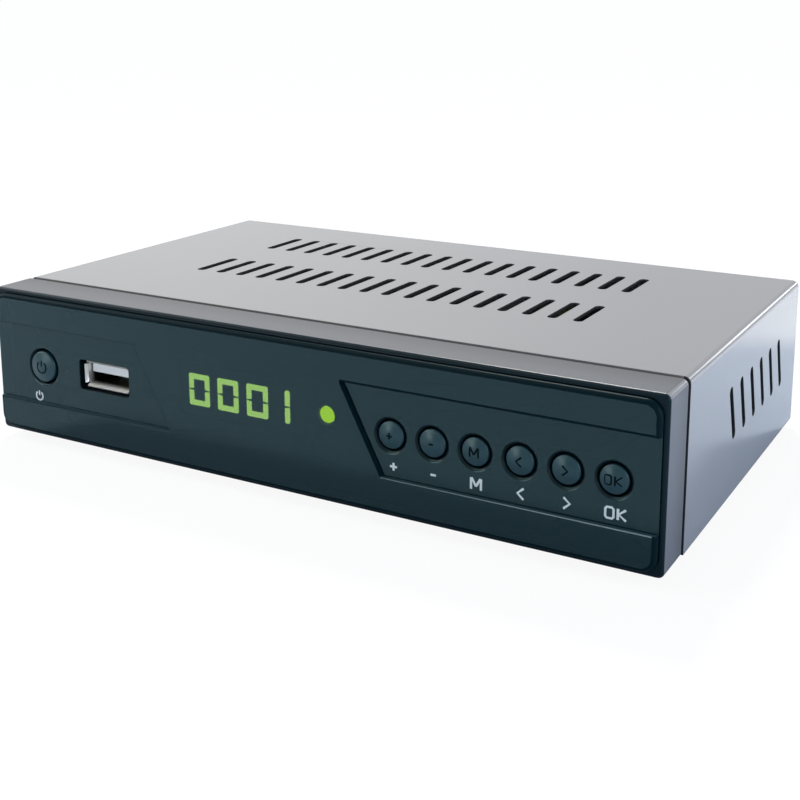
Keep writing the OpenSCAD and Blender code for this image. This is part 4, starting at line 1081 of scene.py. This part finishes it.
# Stage, in metres: a white floor that keeps the shadow, soft lamps and a pale surround
stage = {"floorSize": 60, "near": (0.52, 0.58, 0.66), "far": (0.92, 0.93, 0.94), "across": (0.49, 0.872, 0),
         "turn": (0.137, 0.155), "floorRough": 0.9, "seenLift": 0.92, "world": (0.90, 0.99, 1.13),
         "level": 0.36, "gloss": (0.67, 0.38), "glossX": (-0.62, -0.3)}
lampAim = (0, 0, 0.02)
lamps = {"keySun": {"kind": "SUN", "place": (-0.30, 0.51, 0.78), "size": 0.18, "power": 2.55,
                    "colour": (1, 0.98, 0.95)},
         "topBox": {"kind": "AREA", "place": (-0.40, -0.42, 0.85), "size": 0.28, "power": 1.3,
                    "colour": (1, 1, 1)},
         "leftFill": {"kind": "AREA", "place": (-0.40, -0.12, 0.28), "size": 0.3, "power": 1.2,
                      "colour": (0.96, 0.99, 1)},
         "frontFill": {"kind": "AREA", "place": (-0.45, -0.75, 0.10), "size": 0.3, "power": 0.9,
                       "colour": (0.96, 0.99, 1)},
         "rightFill": {"kind": "AREA", "place": (0.55, -0.10, 0.16), "size": 0.32, "power": 2.3,
                       "colour": (0.70, 0.80, 1)},
         "backStrip": {"kind": "AREA", "place": (0.306, 0.846, 0.239), "size": 0.15, "power": 0.22,
                       "colour": (1, 1, 1)}}


# The floor's tone: near colour up to a line across it, far colour beyond, and far colour where the camera looks
def makeFloorTone():
    group, given, result = newGroup("floorTone", (
        ("Vector", "Vector", None), ("Near", "Color", (0.3, 0.3, 0.3, 1)), ("Far", "Color", (0.9, 0.9, 0.9, 1)),
        ("Across", "Vector", (0, 1, 0)), ("First", "Float", 0.0), ("Last", "Float", 1.0),
        ("Seen", "Float", 0.0)), ("Colour", "Color"))
    reach = addNode(group, "VectorMath", operation="DOT_PRODUCT")
    level = addNode(group, "MapRange")
    most = addNode(group, "Math", operation="MAXIMUM")
    blend = addNode(group, "Mix", data_type="RGBA")
    wire(group, (given, "Vector", reach, 0), (given, "Across", reach, 1), (reach, "Value", level, "Value"),
         (given, "First", level, "From Min"), (given, "Last", level, "From Max"), (level, "Result", most, 0),
         (given, "Seen", most, 1), (most, 0, blend, "Factor"), (given, "Near", blend, "A"),
         (given, "Far", blend, "B"), (blend, "Result", result, "Colour"))
    return group


def makeFloor(f):
    clearSelection()
    bpy.ops.mesh.primitive_plane_add(size=f["floorSize"], location=(0, 0, 0))
    floor = bpy.context.object
    floor.name = "floor"
    surface = bpy.data.materials.new("floorPaper")
    surface.use_nodes = True
    tree = surface.node_tree
    paper = tree.nodes["Principled BSDF"]
    setInputs(paper, {"Roughness": f["floorRough"], "Specular IOR Level": 0})
    ray, where = addNode(tree, "LightPath"), addNode(tree, "TexCoord")
    first, last = f["turn"]
    tone = addNode(tree, "Group", {"Near": (*f["near"], 1), "Far": (*f["far"], 1), "Across": f["across"],
                                   "First": first, "Last": last}, node_tree=makeFloorTone())
    white = addNode(tree, "Emission", {"Strength": 1})
    share = addNode(tree, "Math", {1: f["seenLift"]}, operation="MULTIPLY")
    mix = addNode(tree, "MixShader")
    wire(tree, (where, "Object", tone, "Vector"), (ray, "Is Camera Ray", tone, "Seen"),
         (tone, "Colour", paper, "Base Color"), (ray, "Is Camera Ray", share, 0), (share, 0, mix, "Fac"),
         (paper, "BSDF", mix, 1), (white, "Emission", mix, 2),
         (mix, "Shader", tree.nodes["Material Output"], "Surface"))
    floor.data.materials.append(surface)


# White for the camera, a softer level on the object, and in reflections a level that falls from left to right
def makeWorld(f):
    world = bpy.data.worlds.new("surround")
    bpy.context.scene.world = world
    world.use_nodes = True
    tree = world.node_tree
    soft = tree.nodes["Background"]
    setInputs(soft, {"Color": (*f["world"], 1), "Strength": f["level"]})
    white = addNode(tree, "Background", {"Color": (1, 1, 1, 1), "Strength": 1})
    ray, where = addNode(tree, "LightPath"), addNode(tree, "TexCoord")
    split = addNode(tree, "SeparateXYZ")
    (leftX, rightX), (leftLevel, rightLevel) = f["glossX"], f["gloss"]
    level = addNode(tree, "MapRange", {"From Min": leftX, "From Max": rightX, "To Min": leftLevel,
                                       "To Max": rightLevel})
    mirrored = addNode(tree, "Math", operation="MULTIPLY")
    seen = addNode(tree, "Math", operation="MAXIMUM")
    either = addNode(tree, "Math", operation="MAXIMUM")
    mix = addNode(tree, "MixShader")
    wire(tree, (where, "Generated", split, "Vector"), (split, "X", level, "Value"),
         (ray, "Is Glossy Ray", mirrored, 0), (level, "Result", mirrored, 1), (ray, "Is Camera Ray", seen, 0),
         (mirrored, 0, seen, 1), (seen, 0, either, 0), (ray, "Is Transmission Ray", either, 1),
         (either, 0, mix, "Fac"), (soft, "Background", mix, 1), (white, "Background", mix, 2),
         (mix, "Shader", tree.nodes["World Output"], "Surface"))


def makeLamps(table):
    for name, lamp in table.items():
        clearSelection()
        bpy.ops.object.light_add(type=lamp["kind"], location=lamp["place"])
        light = bpy.context.object
        light.name = name
        if lamp["kind"] == "SUN":
            light.data.angle = lamp["size"]
        else:
            light.data.size = lamp["size"]
        light.data.energy = lamp["power"]
        light.data.color = lamp["colour"]
        aim = Vector(lampAim) - Vector(lamp["place"])
        light.rotation_euler = aim.to_track_quat("-Z", "Y").to_euler()


makeFloor(stage)
makeWorld(stage)
makeLamps(lamps)

# Camera: its place in millimetres, its angles in degrees and its focal length in pixels of the picture
camera = {"place": (136.65, -243.66, 100.58), "yaw": 29.335, "pitch": 11.643, "focal": 1250.2,
          "picture": 800, "sensor": 36, "shift": (-0.0125, -0.19375), "nearest": 10}


def makeCamera(c):
    clearSelection()
    bpy.ops.object.camera_add(location=Vector(c["place"]) * mm,
                              rotation=(math.radians(90 - c["pitch"]), 0, math.radians(c["yaw"])))
    view = bpy.context.object
    view.name = "camera"
    view.data.sensor_width = c["sensor"]
    view.data.lens = c["focal"] / c["picture"] * c["sensor"]
    view.data.shift_x, view.data.shift_y = c["shift"]
    view.data.clip_start = c["nearest"] * mm
    bpy.context.scene.camera = view


makeCamera(camera)
bpy.context.scene.view_settings.view_transform = "Standard"
print("stage, lamps and camera made")
